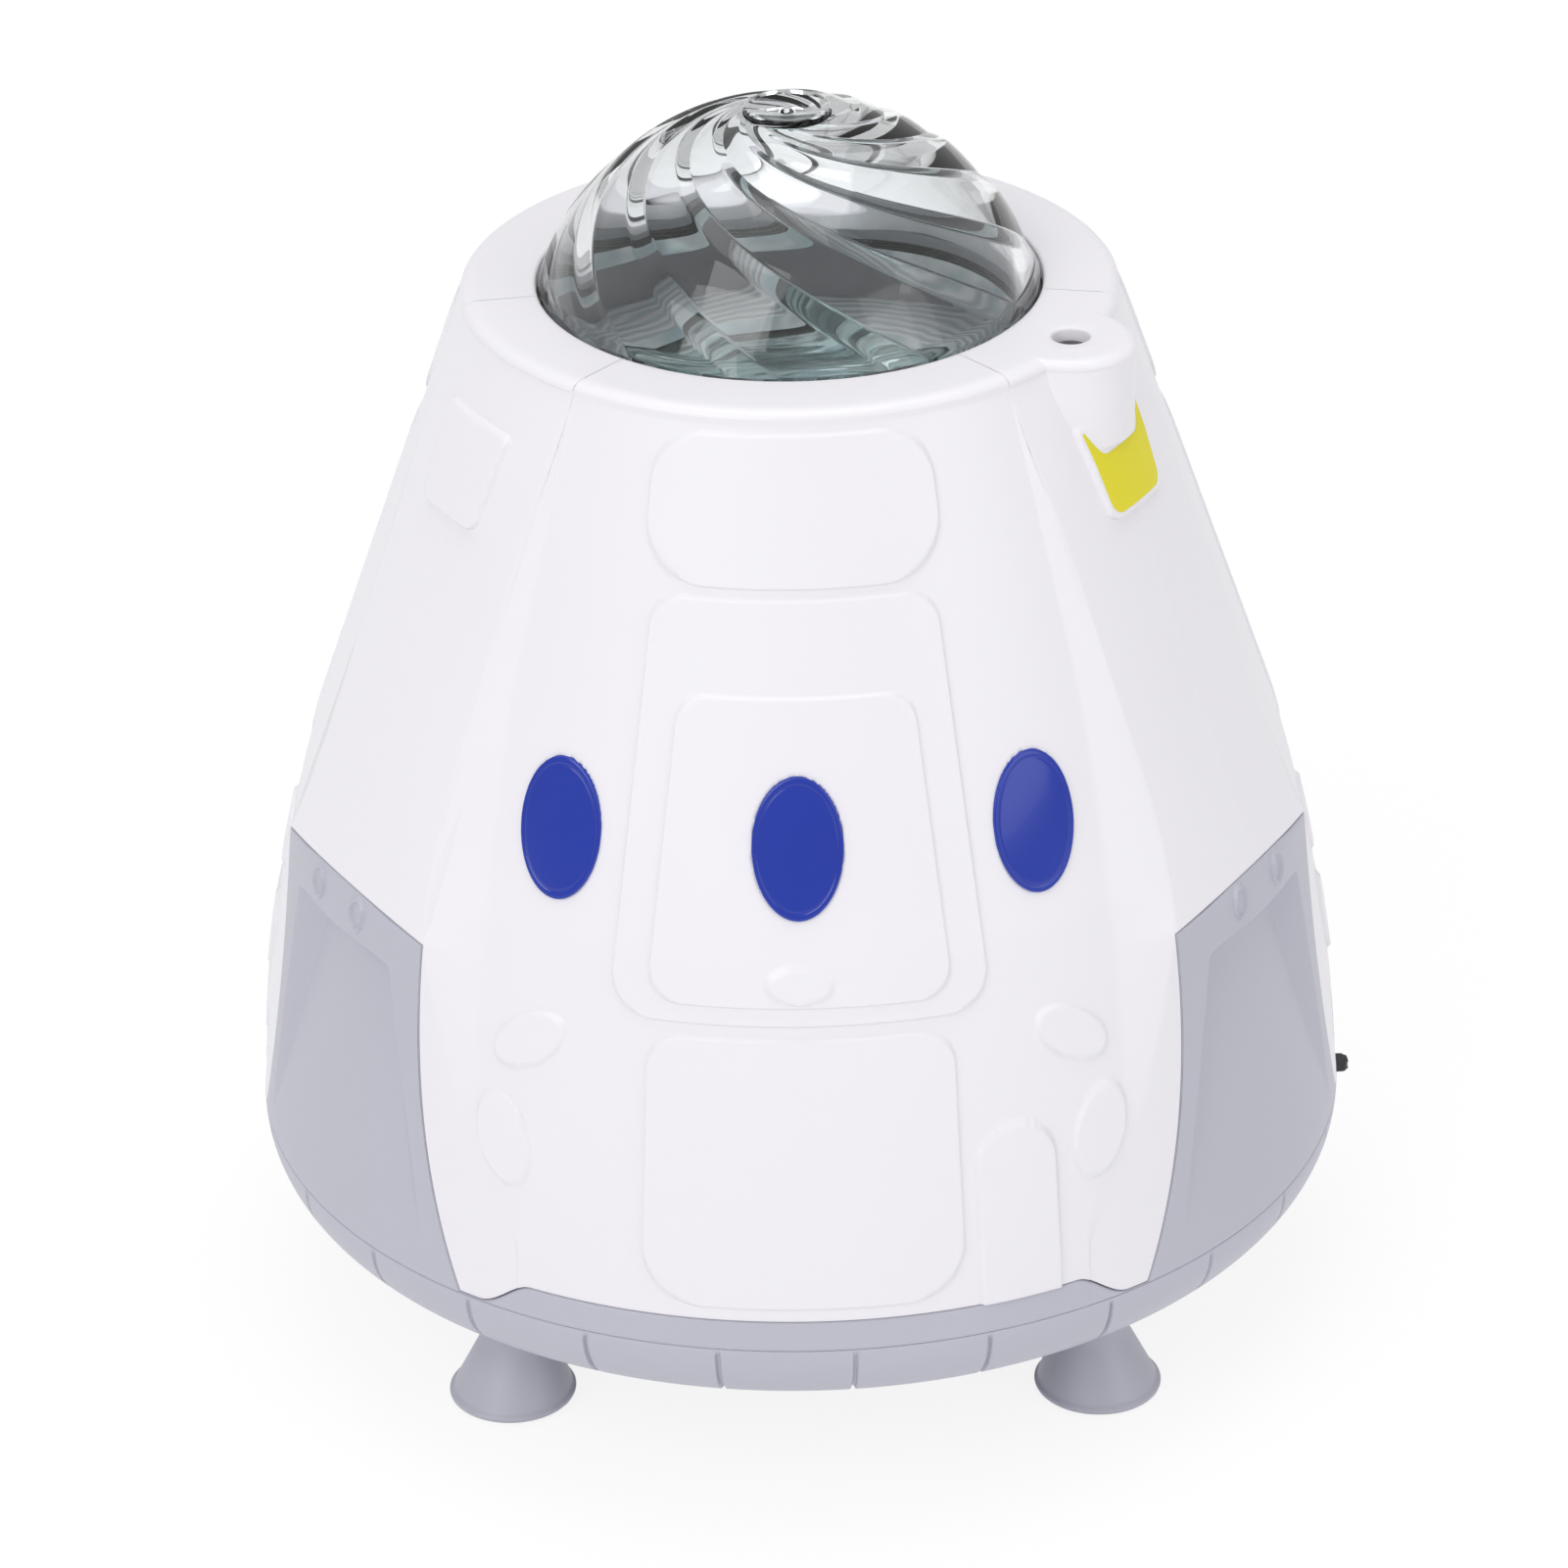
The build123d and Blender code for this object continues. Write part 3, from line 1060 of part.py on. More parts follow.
def make_board_chip():
    """Controller chip in the middle of the board."""
    top = board_low_z() + BOARD_THICK
    span_y = (BOARD_MIDDLE_Y - 7, BOARD_MIDDLE_Y + 5)
    return block((-6, 6), span_y, (top, top + 1.6))


def make_power_jack():
    """Round low-voltage inlet under the rear edge of the board."""
    axis_z = SEAM_Z - JACK_FALL
    rear = tray_outer_radius(JACK_FALL) - 0.4
    front = TRAY_RIM_INNER - JACK_SIZE[1] - 0.5
    half = JACK_SIZE[0] / 2
    top = board_low_z()
    jack = block((-half, half), (front, front + JACK_SIZE[1]), (axis_z - JACK_NOSE_RADIUS, top))

    def along(radius, start, end):
        """A cylinder lying on the inlet's axis."""
        return Pos(0, start, axis_z) * Rot(-90, 0, 0) * Cylinder(
            radius, end - start, align=(Align.CENTER, Align.CENTER, Align.MIN)
        )

    jack += along(JACK_NOSE_RADIUS, front + JACK_SIZE[1] - 1, rear)
    jack -= along(JACK_BORE, rear - 9.5, rear + 1)
    return jack + along(JACK_PIN, rear - 10, rear - 1)


def make_switch_body():
    """Slide switch housing behind the slot in the tray."""
    axis_z = SEAM_Z - SWITCH_FALL
    long_half, deep, high = SWITCH_BODY[0] / 2, SWITCH_BODY[1], SWITCH_BODY[2]
    span_z = (axis_z - high / 2, axis_z + high / 2)
    body = block((-long_half, long_half), (-SWITCH_FRONT, -SWITCH_FRONT + deep), span_z)
    half = (KNOB_SIZE[0] + KNOB_TRAVEL) / 2 + SLOT_GAP
    tall = KNOB_SIZE[1] / 2 + SLOT_GAP
    body -= block((-half, half), (-REACH, -KNOB_ROOT + SLOT_GAP), (axis_z - tall, axis_z + tall))
    return spun(body, SWITCH_AZIMUTH)


def make_switch_knob():
    """Knob of the slide switch, with a grip rib across its tip, at the near end of its slot."""
    axis_z = SEAM_Z - SWITCH_FALL
    half_x, half_z = KNOB_SIZE[0] / 2, KNOB_SIZE[1] / 2
    shift = -KNOB_TRAVEL / 2
    span_z = (axis_z - half_z, axis_z + half_z)
    stem = block((shift - half_x, shift + half_x), (-KNOB_REACH + 0.5, -KNOB_ROOT), span_z)
    tip = block((shift - 0.5, shift + 0.5), (-KNOB_REACH, -KNOB_REACH + 1), span_z)
    return spun(stem + tip, SWITCH_AZIMUTH)


def make_eye_board():
    """Small upright board of the remote-control eye, on two posts of the shell."""
    middle = SEAM_Z + sum(EYE_POST_RISES) / 2
    wide, tall, thick = EYE_BOARD
    span_z = (middle - tall / 2, middle + tall / 2)
    return block((-wide / 2, wide / 2), (EYE_BOARD_Y, EYE_BOARD_Y + thick), span_z)


def make_eye():
    """Infrared receiver that looks through the middle porthole."""
    wide, deep, tall = EYE_SIZE
    middle = SEAM_Z + PORTHOLE_RISE
    span_z = (middle - tall / 2, middle + tall / 2)
    eye = block((-wide / 2, wide / 2), (EYE_BOARD_Y - deep + 1.4, EYE_BOARD_Y), span_z)
    bead = Pos(0, EYE_BOARD_Y - deep + 1.8, middle) * Sphere(1.8)
    return eye + bead


# ================================================================ assembly
def screw_groups():
    """Each group of like screws, by node name."""
    small = dict(small=True)
    foot_places = []
    for azimuth in FOOT_AZIMUTHS:
        place = foot_top(azimuth)
        foot_places.append(screw_down(place.X, place.Y, TRAY_FLOOR_Z, 8.0))
    clamp_low = CEILING_Z - DOME_FLANGE_THICK - CLAMP_THICK
    tray = [polar(TRAY_SCREW_CIRCLE, a, SEAM_Z - 5) for a in TRAY_SCREW_AZIMUTHS]
    shell = [place + Vector(0, 0, SEAM_Z + 7.3) for place in shell_boss_places()]
    clamp = [polar(CLAMP_SCREW_CIRCLE, a, clamp_low) for a in CLAMP_SCREW_AZIMUTHS]
    deck = [polar(DECK_BOSS_CIRCLE, a, DECK_Z) for a in FACE_AZIMUTHS]
    cover = [polar(COVER_POST_CIRCLE, a, DECK_Z) for a in COVER_POST_AZIMUTHS]
    cup = [polar(CUP_EAR_CIRCLE, a, DECK_Z - CUP_EAR_THICK) for a in FACE_AZIMUTHS]
    motor = [place + Vector(0, 0, DECK_Z - MOTOR_EAR_THICK) for place in motor_screw_places()]
    sink = [polar(SINK_POST_CIRCLE, a, sink_top_z() - SINK_PLATE) for a in sink_screw_azimuths()]
    board = [screw_down(x, y, board_low_z() + BOARD_THICK, 6.5) for x, y in board_holes()]
    return {
        "tray_screws": screws(tray, 14.5),
        "shell_screws": screws(shell, 10.0),
        "clamp_screws": screws(clamp, 5.5, **small),
        "deck_screws": screws(deck, 9.5),
        "cover_screws": screws(cover, 7.5, **small),
        "cup_screws": screws(cup, 4.4, **small),
        "motor_screws": screws(motor, 3.8, **small),
        "sink_screws": screws(sink, 8.5, **small),
        "board_screws": Compound(children=board),
        "foot_screws": Compound(children=foot_places),
    }


def screw_down(x, y, z, length):
    """A screw with its head on top of the given place."""
    return Pos(x, y, z) * Rot(180, 0, 0) * screw(SCREW_RADIUS, SCREW_HEAD_RADIUS, SCREW_HEAD_THICK, length)


def build_nodes():
    """Every separate piece by its node name."""
    capsule = capsule_solid()
    nodes = {
        "upper_shell": make_upper_shell(capsule),
        "lower_shell": make_lower_shell(capsule),
        "base_tray": make_base_tray(),
        "dome_lens": make_dome_lens(),
        "dome_clamp": make_dome_clamp(),
        "projector_deck": make_deck(),
        "rotor_gear": make_rotor_gear(),
        "ripple_disc": make_ripple_disc(),
        "rotor_cover": make_rotor_cover(),
        "drive_motor": make_drive_motor(),
        "motor_shaft": make_motor_shaft(),
        "drive_pinion": make_drive_pinion(),
        "laser_barrel": make_laser_barrel(),
        "laser_lens": make_laser_lens(),
        "laser_clamp": make_laser_clamp(),
        "laser_window": make_laser_window(),
        "star_motor": make_star_motor(),
        "star_hub": make_star_shaft(),
        "star_disc": make_star_disc(),
        "reflector_cup": make_reflector_cup(),
        "condenser_lens": make_condenser_lens(),
        "led_board": make_led_board(),
        "led": make_led(),
        "heat_sink": make_heat_sink(),
        "main_board": make_main_board(),
        "board_sockets": make_board_sockets(),
        "board_capacitors": make_board_capacitors(),
        "board_chip": make_board_chip(),
        "power_jack": make_power_jack(),
        "switch_body": make_switch_body(),
        "switch_knob": make_switch_knob(),
        "remote_eye_board": make_eye_board(),
        "remote_eye": make_eye(),
    }
    for azimuth, name in zip(FOOT_AZIMUTHS, FOOT_NAMES):
        nodes["foot_" + name] = make_foot(azimuth)
        nodes["foot_pad_" + name] = make_foot_pad(azimuth)
    for azimuth, name in zip(PORTHOLE_AZIMUTHS, ("a", "b", "c")):
        nodes["porthole_front_" + name] = make_porthole(azimuth)
    nodes.update(screw_groups())
    return nodes


def main():
    """Write one STEP file for each node."""
    os.makedirs("parts", exist_ok=True)
    for name, shape in build_nodes().items():
        export_step(shape, "parts/" + name + ".step")


if __name__ == "__main__":
    main()
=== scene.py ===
"""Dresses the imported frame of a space-capsule planetarium projector: moulded shells, portholes, swirled
dome, ripple disc, tray, feet, finishes and a plain studio. Lengths are in millimetres until a mesh is made.
Azimuths are degrees from the front (-Y) towards the right (+X). Heights are counted from the seam between
the tray and the grey shell, unless a name says otherwise."""
import json

import bpy
import numpy as np
from bpy.props import FloatProperty, FloatVectorProperty, PointerProperty
from mathutils import Matrix, Vector


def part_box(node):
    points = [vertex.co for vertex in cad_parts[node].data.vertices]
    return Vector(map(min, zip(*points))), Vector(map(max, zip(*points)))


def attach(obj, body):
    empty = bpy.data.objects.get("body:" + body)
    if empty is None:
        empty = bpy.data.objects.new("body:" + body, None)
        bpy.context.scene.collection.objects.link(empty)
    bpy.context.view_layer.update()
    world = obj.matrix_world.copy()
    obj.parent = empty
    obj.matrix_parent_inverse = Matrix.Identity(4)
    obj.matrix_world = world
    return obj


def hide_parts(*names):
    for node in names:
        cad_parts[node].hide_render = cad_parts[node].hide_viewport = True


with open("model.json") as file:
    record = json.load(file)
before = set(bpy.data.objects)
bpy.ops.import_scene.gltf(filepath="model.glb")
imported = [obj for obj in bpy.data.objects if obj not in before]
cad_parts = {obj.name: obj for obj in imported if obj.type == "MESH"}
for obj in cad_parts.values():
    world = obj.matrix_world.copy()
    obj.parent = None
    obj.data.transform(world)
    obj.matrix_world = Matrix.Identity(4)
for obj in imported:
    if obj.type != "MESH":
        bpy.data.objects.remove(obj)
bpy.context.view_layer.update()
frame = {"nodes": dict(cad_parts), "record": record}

bl_info = {
    "name": "Planetarium projector",
    "version": (1, 0, 0),
    "blender": (4, 5, 0),
    "location": "View3D > Sidebar > Projector",
    "description": "Builds the moulded skins, optics and finishes of a capsule-shaped star projector",
    "category": "Object",
}

MM = 0.001
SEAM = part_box("lower_shell")[0][2] / MM

# Capsule form: white faces of revolution with raised sides between them
SEAM_RADIUS = 84.0
FACE_ARC = ((SEAM_RADIUS, 0.0), (80.2, 33.0), (74.0, 59.5))
FACE_TOP = (49.1, 131.0)
SIDE_LINE = ((SEAM_RADIUS, 0.0), (78.9, 53.5), (54.7, 118.6), (49.25, 131.0), (48.0, 134.4))
# Angles from a side's middle, at heights, where its bevel leaves the face and where it meets the side
CREASE_INNER = ((14.0, 29.8), (30.0, 24.0), (45.0, 23.0), (60.0, 22.3), (70.0, 21.2), (82.0, 20.3))
CREASE_INNER += ((90.0, 19.8), (118.0, 20.0), (134.4, 20.5))
CREASE_OUTER = ((0.0, 36.0), (15.0, 27.0), (30.0, 21.6), (45.0, 17.8), (53.5, 15.9), (58.0, 15.0))
CREASE_OUTER += ((68.0, 14.3), (78.0, 14.6), (87.0, 15.3), (96.0, 15.9), (107.0, 16.8), (116.0, 18.1))
CREASE_OUTER += ((122.0, 19.2), (134.4, 20.45))
RING_RISE = 134.4
RING_ROUND = (2.4, 1.25)  # rounding of the ring's edge, level and upright
RING_LIP = (0.35, 133.1)  # how far the ring stands proud, and the height where it does
CEILING = 131.9
HOLE = 37.5
FACES = (("front", 0.0), ("right", 120.0), ("left", 240.0))
SIDES = (("right", 60.0), ("rear", 180.0), ("left", 300.0))

# Grey panels, half widths from their middles at heights, and the wave at the ends of the band
PANEL_EDGE = ((32.4, 0.0), (25.0, 19.5), (21.8, 39.0), (21.5, 53.5))
PANEL_CROWN = 55.6
BAND_RISE = 4.85
WAVE = (40.2, 48.0)  # how far aside from a face's middle it starts and ends
WHITE_FOOT = 0.35
FLANGE = 47.0  # azimuth from a face's middle to which its hidden flange runs
SHELL_WALL = 2.2
GREY_WALL = 2.4
EDGE_ARM = 80.0  # radius at which the rounding of an upright edge is turned into an angle
EDGE_INSET = (0.16, 0.05, 0.0, 0.0)  # how far the last columns at a free edge stand back from it
SCOOP_CROWDING = ((0.853, 0.014, 3.5), (0.935, 0.055, 2.6))  # rows crowd at a scoop's upper edge
FRAME_OVAL = (6.1, 52.2, 1.8, 2.7)  # how far aside, height, half width, half height
# Rows of a grey piece's foot: how far inside the surface, and height
FOOT_EDGE = ((GREY_WALL, 0.02), (0.25, 0.03), (0.07, 0.09), (0.0, 0.24))
# Columns of half a face and of half a grey panel between the lines that they follow: for each segment
# its count, and where in it the columns crowd, as (share, spread, weight)
FACE_COLUMNS = (
    (56, ((1.0, 0.05, 2.5),)),
    (26, ((0.0, 0.16, 2.0), (1.0, 0.16, 2.0))),
    (96, ((0.0, 0.03, 2.2), (1.0, 0.03, 2.2))),
    (28, ((0.0, 0.12, 2.0), (1.0, 0.12, 2.0))),
)
PANEL_COLUMNS = (
    (44, ((0.61, 0.22, 3.0), (1.0, 0.05, 1.5))),
    (20, ((0.0, 0.12, 1.2), (1.0, 0.1, 1.5))),
    (30, ((0.0, 0.06, 1.5), (1.0, 0.06, 1.5))),
)
# Heights at which the rows of a white face and of a white side crowd
PLACES_UP = (7.2, 48.5, 50.6, 53.5, 96.0, 109.0, 110.5, 131.2)
SIDE_PLACES_UP = (55.8, 110.2, 119.9, 124.2, 132.9)

# Outlines on the white faces and the sides: half width above, half width below, foot, top, roundings
# above and below, and of the grey panels' scoop: half width above, half width below, foot, top
TOP_PANEL = (19.1, 21.7, 110.5, 131.2, 7.0, 9.0)
DOOR_OUTER = (20.0, 27.6, 50.6, 109.0, 4.5, 6.5)
DOOR_INNER = (16.5, 21.9, 53.5, 96.0, 4.0, 5.0)
LOWER_PANEL = (22.0, 23.7, 7.2, 48.5, 5.0, 9.0)
SIDE_PAD = (8.8, 7.5, 110.2, 124.2, 1.2, 1.6)
SCOOP = (14.5, 25.5, 3.0, 47.9)
# Half widths at heights of the lines that the grid of a white face follows
INNER_LINE = ((0.0, 24.0), (7.2, 23.7), (48.5, 22.0), (53.5, 21.9), (96.0, 16.5), (134.0, 13.0))
OUTER_LINE = ((0.0, 29.5), (50.6, 27.6), (109.0, 20.0), (110.5, 21.7), (131.2, 19.1), (134.0, 18.8))
HANDLE = (56.9, 4.65, 2.65)  # height, half width, half height
# Ovals: azimuth, height, half width, half height, turn
ELLIPSES = ((30.3, 43.8, 6.4, 3.6, -33.0), (32.5, 27.9, 7.2, 4.3, 70.0))
# Portholes of the front face: mark, azimuth, lean
PORTHOLES = (("a", -29.7, 7.3), ("b", 0.0, 0.0), ("c", 29.7, -7.3))
PORTHOLE_OVAL = (75.8, 6.55, 9.8)  # height, half width, half height
PORTHOLE_SEAT = 1.4  # how far the shell is sunk under a porthole
PORTHOLE_DROP = 1.2  # the two outer portholes stand this much lower
ARCH = (22.5, 6.3, 32.7)  # azimuth, half width, height of its round top

LASER = (46.8, 60.0)  # radius, azimuth
BOSS_RADIUS = 9.4
BOSS_FOOT = 119.4
BOSS_STEP = 2.6  # how far the boss draws back below its foot
WITNESS = (0.05, 0.22)  # height and half width of the moulding line down each side
TRAY_ROUND = 11.4
TRAY_DEPTH = 12.0
TRAY_SINK = 1.9  # how far the tray's wall is pushed in where a hole is
SCREW_SEAT = -5.6  # height of the screw recesses' floor
GROOVES = (26, 5.1)  # count, azimuth of the first
SWITCH = (95.8, -6.3)  # azimuth, height, as for the inlet
INLET = (180.0, -5.3)
TRAY_SCREWS = (76.4, (20.0, 160.0, 200.0, 340.0))  # radius, azimuths
FEET = (("front_left", -45.0), ("front_right", 45.0), ("rear_right", 135.0), ("rear_left", 225.0))
FOOT_CIRCLE = 63.6
FOOT_LEAN = 8.5  # degrees
DOME_RADIUS = 37.2
DOME_RISE = 26.4
DOME_VANES = 10
DOME_TWIST = 80.0  # degrees of turn for each unit of the log of the tangent of half the polar angle
DOME_START = 22.4  # azimuth of the first flute at the rim
FLUTE = ((0.0, 0.3, 1.0), (0.0, 1.0, 0.0), 1.3)  # shares across a flute, depths there, and their power
DOME_BORE = 34.4
POLE = 0.02  # radius at which a grid's pole is closed by a small face

ABS_IOR = 1.53
ACRYLIC_IOR = 1.49
# Lamps: name, place in metres, side in metres, watts
LAMPS = (
    ("key_light", (-0.75, -1.1, 1.1), 1.0, 8.3),
    ("fill_light", (1.1, -0.9, 0.7), 0.9, 3.2),
    ("top_light", (0.0, 0.25, 1.7), 1.2, 8.0),
)
LAMP_AIM = (0.0, 0.0, 0.1)
WORLD_STRENGTH = 0.56
FLOOR_REACH = 6000.0
FLOOR_GLOW = (0.82, 1.04)  # share of the glow in what the camera sees, and its strength
CAMERA_TURN = (28.026, -0.0022, -0.0154)  # elevation in degrees, yaw and roll in radians
CAMERA_PLACE = (0.0, -0.888752, 0.522340)  # in metres, its height counted from the seam
FOCAL_PIXELS = 6685.67
IMAGE_PIXELS = 1601.0
SENSOR = 36.0  # width in millimetres


# ---- sizes and colours a user may change
def linear(code):
    """An sRGB hex colour as linear red, green and blue."""
    parts = np.array([int(code[i : i + 2], 16) for i in (1, 3, 5)]) / 255.0
    return tuple(np.where(parts <= 0.04045, parts / 12.92, ((parts + 0.055) / 1.055) ** 2.4))


def length(name, words, millimetres, top=10.0):
    """A length property in metres whose default is given in millimetres."""
    limits = {"default": millimetres * MM, "min": 0.0, "max": top * MM}
    return FloatProperty(name=name, description=words, unit="LENGTH", precision=5, **limits)


def colour(name, words, code):
    """A colour property whose default is given as sRGB hex."""
    limits = {"default": linear(code), "size": 3, "min": 0.0, "max": 1.0}
    return FloatVectorProperty(name=name, description=words, subtype="COLOR", **limits)


class ProjectorSizes(bpy.types.PropertyGroup):
    """Sizes of the visible detail."""

    relief: length("Relief", "Height of each raised panel step on the white faces", 0.6)
    relief_edge: length("Relief edge", "Width of the slope at the edge of a raised panel", 0.42)
    pad_relief: length("Pad relief", "Height of the pad near the top of each side", 0.9)
    split_gap: length("Split gap", "Gap between the white and the grey shells", 0.18)
    scoop_depth: length("Scoop depth", "Depth of a grey panel's scoop at its top", 4.2)
    groove_width: length("Groove width", "Width of the tray's upright grooves", 0.95)
    groove_depth: length("Groove depth", "Depth of the tray's upright grooves", 0.6)
    vane_depth: length("Vane depth", "Depth of the dome's flutes", 0.6)
    ripple_depth: length("Ripple depth", "Height of the waves on the ripple disc", 0.45)
    porthole_proud: length("Porthole proud", "How far a porthole stands proud of the shell", 0.35)


class ProjectorColours(bpy.types.PropertyGroup):
    """Colours of the finishes."""

    white: colour("White shell", "Upper shell", "#F0EEF3")
    grey: colour("Grey shell", "Lower shell, tray and feet", "#BDBDC9")
    blue: colour("Portholes", "Tinted portholes", "#1432A2")
    label: colour("Label", "Blank label under the laser boss", "#E6DB18")
    knob: colour("Knob", "Slide switch knob", "#26272B")
    clear: colour("Clear optics", "Dome, lenses and window", "#FBFDFE")
    ripple: colour("Ripple disc", "Tint of the ripple disc", "#DDF1F1")
    star: colour("Star disc", "Tint of the star disc", "#1B2A78")
    floor: colour("Floor", "Studio floor", "#F6F6F7")


def size(name):
    """One of the sizes by name, in millimetres."""
    return getattr(bpy.context.scene.projector_sizes, name) / MM


# ---- small tools for shapes
def ease(low, high, value):
    """0 below low, 1 above high, and a smooth S between them."""
    share = np.clip((value - low) / (high - low), 0.0, 1.0)
    return share * share * (3.0 - 2.0 * share)


def soft_least(first, second, blend):
    """The smaller of two arrays, rounded over where they come within blend of each other."""
    share = np.clip(0.5 + 0.5 * (second - first) / blend, 0.0, 1.0)
    return second + (first - second) * share - blend * share * (1.0 - share)


def soft_most(first, second, blend):
    """The larger of two arrays, rounded over where they come within blend of each other."""
    return -soft_least(-first, -second, blend)


def circle_through(points):
    """Centre and radius of the circle through three points, from the crossing of two bisectors."""
    (ax, ay), (bx, by), (cx, cy) = points
    light_streaks = 2.0 * np.array([[bx - ax, by - ay], [cx - ax, cy - ay]])
    sums = np.array([bx * bx + by * by - ax * ax - ay * ay, cx * cx + cy * cy - ax * ax - ay * ay])
    x, y = np.linalg.solve(light_streaks, sums)
    return x, y, np.hypot(ax - x, ay - y)


def crowded(start, stop, count, places):
    """Positions from start to stop, closer together near each (place, spread, weight)."""
    line = np.linspace(start, stop, 6001)
    density = np.ones_like(line)
    for place, spread, weight in places:
        density += weight * np.exp(-(((line - place) / spread) ** 2))
    total = np.concatenate([[0.0], np.cumsum((density[1:] + density[:-1]) / 2.0)])
    return np.interp(np.linspace(0.0, 1.0, count), total / total[-1], line)


def ending(count, values):
    """Zeros with the given values at their end, count numbers in all."""
    return np.concatenate([np.zeros(count - len(values)), values])


def corner(across, along, rounding):
    """Distance inside a corner of two edges: the lesser distance, less the bite of a round corner."""
    return rounding - np.hypot(np.maximum(rounding - across, 0.0), np.maximum(rounding - along, 0.0))


def tapered(height, half_top, half_foot, foot, top):
    """Half width of an upright trapezoid at a height: straight from its foot to its top."""
    return half_foot + (half_top - half_foot) * (height - foot) / (top - foot)


def inside_panel(x, z, half_top, half_foot, foot, top, round_top, round_foot):
    """Distance inside an upright trapezoid whose corners are rounded."""
    half = tapered(z, half_top, half_foot, foot, top)
    return np.minimum(corner(half - abs(x), top - z, round_top), corner(half - abs(x), z - foot, round_foot))


def inside_oval(x, z, half_width, half_height, turn=0.0):
    """Distance inside an ellipse turned by an angle, taken along its narrower way."""
    angle = np.radians(turn)
    along = np.cos(angle) * x + np.sin(angle) * z
    across = np.cos(angle) * z - np.sin(angle) * x
    return (1.0 - np.hypot(along / half_width, across / half_height)) * min(half_width, half_height)


def place(radius, azimuth, height):
    """Points at a radius, an azimuth and a height above the seam, in the frame's axes."""
    turn = np.radians(azimuth)
    return np.stack(np.broadcast_arrays(radius * np.sin(turn), -radius * np.cos(turn), height + SEAM), -1)


def placed(rows, middle, way=1):
    """Points of rows of (radius, height, angle from a middle); way is -1 where angles run to the left."""
    return np.array([place(radius, middle + way * turn, height) for radius, height, turn in rows])


def grid_faces(rows, columns, loop_rows=False, loop_columns=False):
    """Quads between neighbours of a grid: next column, then next row, which faces outwards on a body
    whose rows rise and whose columns run towards the right."""
    i, j = np.meshgrid(
        np.arange(rows if loop_rows else rows - 1),
        np.arange(columns if loop_columns else columns - 1),
        indexing="ij",
    )
    up, on = (i + 1) % rows, (j + 1) % columns
    return np.stack([i * columns + j, i * columns + on, up * columns + on, up * columns + j], -1).reshape(-1, 4)


def make_piece(name, points, quads, material, body="housing", slot=None, nodes=(), polygons=(), sharp=55.0):
    """A mesh object from points in millimetres and quads, riding on a body and standing for CAD nodes."""
    points = np.asarray(points, float).reshape(-1, 3)
    mesh = bpy.data.meshes.new(name)
    mesh.vertices.add(len(points))
    mesh.vertices.foreach_set("co", (points * MM).astype(np.float32).ravel())
    loops = np.concatenate([np.asarray(quads).ravel()] + [np.asarray(p) for p in polygons]).astype(np.int32)
    counts = np.concatenate([np.full(len(quads), 4), [len(p) for p in polygons]]).astype(np.int32)
    mesh.loops.add(len(loops))
    mesh.loops.foreach_set("vertex_index", loops)
    mesh.polygons.add(len(counts))
    mesh.polygons.foreach_set("loop_start", np.concatenate([[0], np.cumsum(counts)[:-1]]).astype(np.int32))
    mesh.polygons.foreach_set("loop_total", counts)
    mesh.update(calc_edges=True)
    mesh.validate()
    mesh.shade_smooth()
    mesh.set_sharp_from_angle(angle=np.radians(sharp))
    mesh.materials.append(material)
    piece = bpy.data.objects.new(name, mesh)
    bpy.context.scene.collection.objects.link(piece)
    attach(piece, body)
    if nodes:
        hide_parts(*nodes)


def turned_ring(profile, columns, centre=(0.0, 0.0)):
    """Points of a closed (radius, height) profile swept round an upright axis at a centre."""
    profile = np.asarray(profile, float)
    turn = np.linspace(0.0, 360.0, columns, endpoint=False)
    points = place(profile[:, :1], turn[None, :], profile[:, 1:])
    return points + np.array([centre[0], centre[1], 0.0])


def pole_piece(name, points, finish, **more):
    """A piece from a grid of rings, whose first and last ring are closed by a face each."""
    rows, columns = points.shape[:2]
    row = np.arange(columns)
    caps = [row[::-1], row + (rows - 1) * columns]
    quads = grid_faces(rows, columns, loop_columns=True)
    make_piece(name, points, quads, finishes()[finish], polygons=caps, **more)


def loop_piece(name, points, finish, slot, node):
    """A piece of the shells from a closed loop of rows, capped at its first and last column."""
    rows, columns = points.shape[:2]
    first = np.arange(rows) * columns
    caps = [first, first[::-1] + columns - 1]
    quads = grid_faces(rows, columns, loop_rows=True)
    make_piece(name, points, quads, finishes()[finish], slot=slot, nodes=[node], polygons=caps)


# ---- capsule surface
def face_radius(height):
    """Radius of the white faces' body: a circle through three points below, a straight cone above."""
    x, z, radius = circle_through(FACE_ARC)
    arc = x + np.sqrt(np.maximum(radius**2 - (height - z) ** 2, 1.0))
    knee_radius, knee = FACE_ARC[2]
    cone = knee_radius + (height - knee) * (FACE_TOP[0] - knee_radius) / (FACE_TOP[1] - knee)
    return np.where(height < knee, arc, cone)


def side_radius(height):
    """Radius of the raised sides: straight cones between the points of SIDE_LINE."""
    radii, heights = zip(*SIDE_LINE)
    return np.interp(height, heights, radii)


def aside(radius, angle):
    """How far aside a point at a radius and an angle lies, as the radius times the angle's sine."""
    return radius * np.sin(np.radians(angle))


def angle_of(x, radius):
    """Angle whose sine is x over the radius."""
    return np.degrees(np.arcsin(x / radius))


def across_side(azimuth, height):
    """How far from the middle of its raised side a point lies."""
    return aside(side_radius(height), azimuth % 120.0 - 60.0)


def crease_angle(line, height):
    """Angle of a crease from a side's middle: its table, averaged over 6 mm so that it bends smoothly."""
    heights, angles = np.array(line).T
    return np.mean([np.interp(height + shift, heights, angles) for shift in (-3.0, -1.5, 0.0, 1.5, 3.0)], 0)


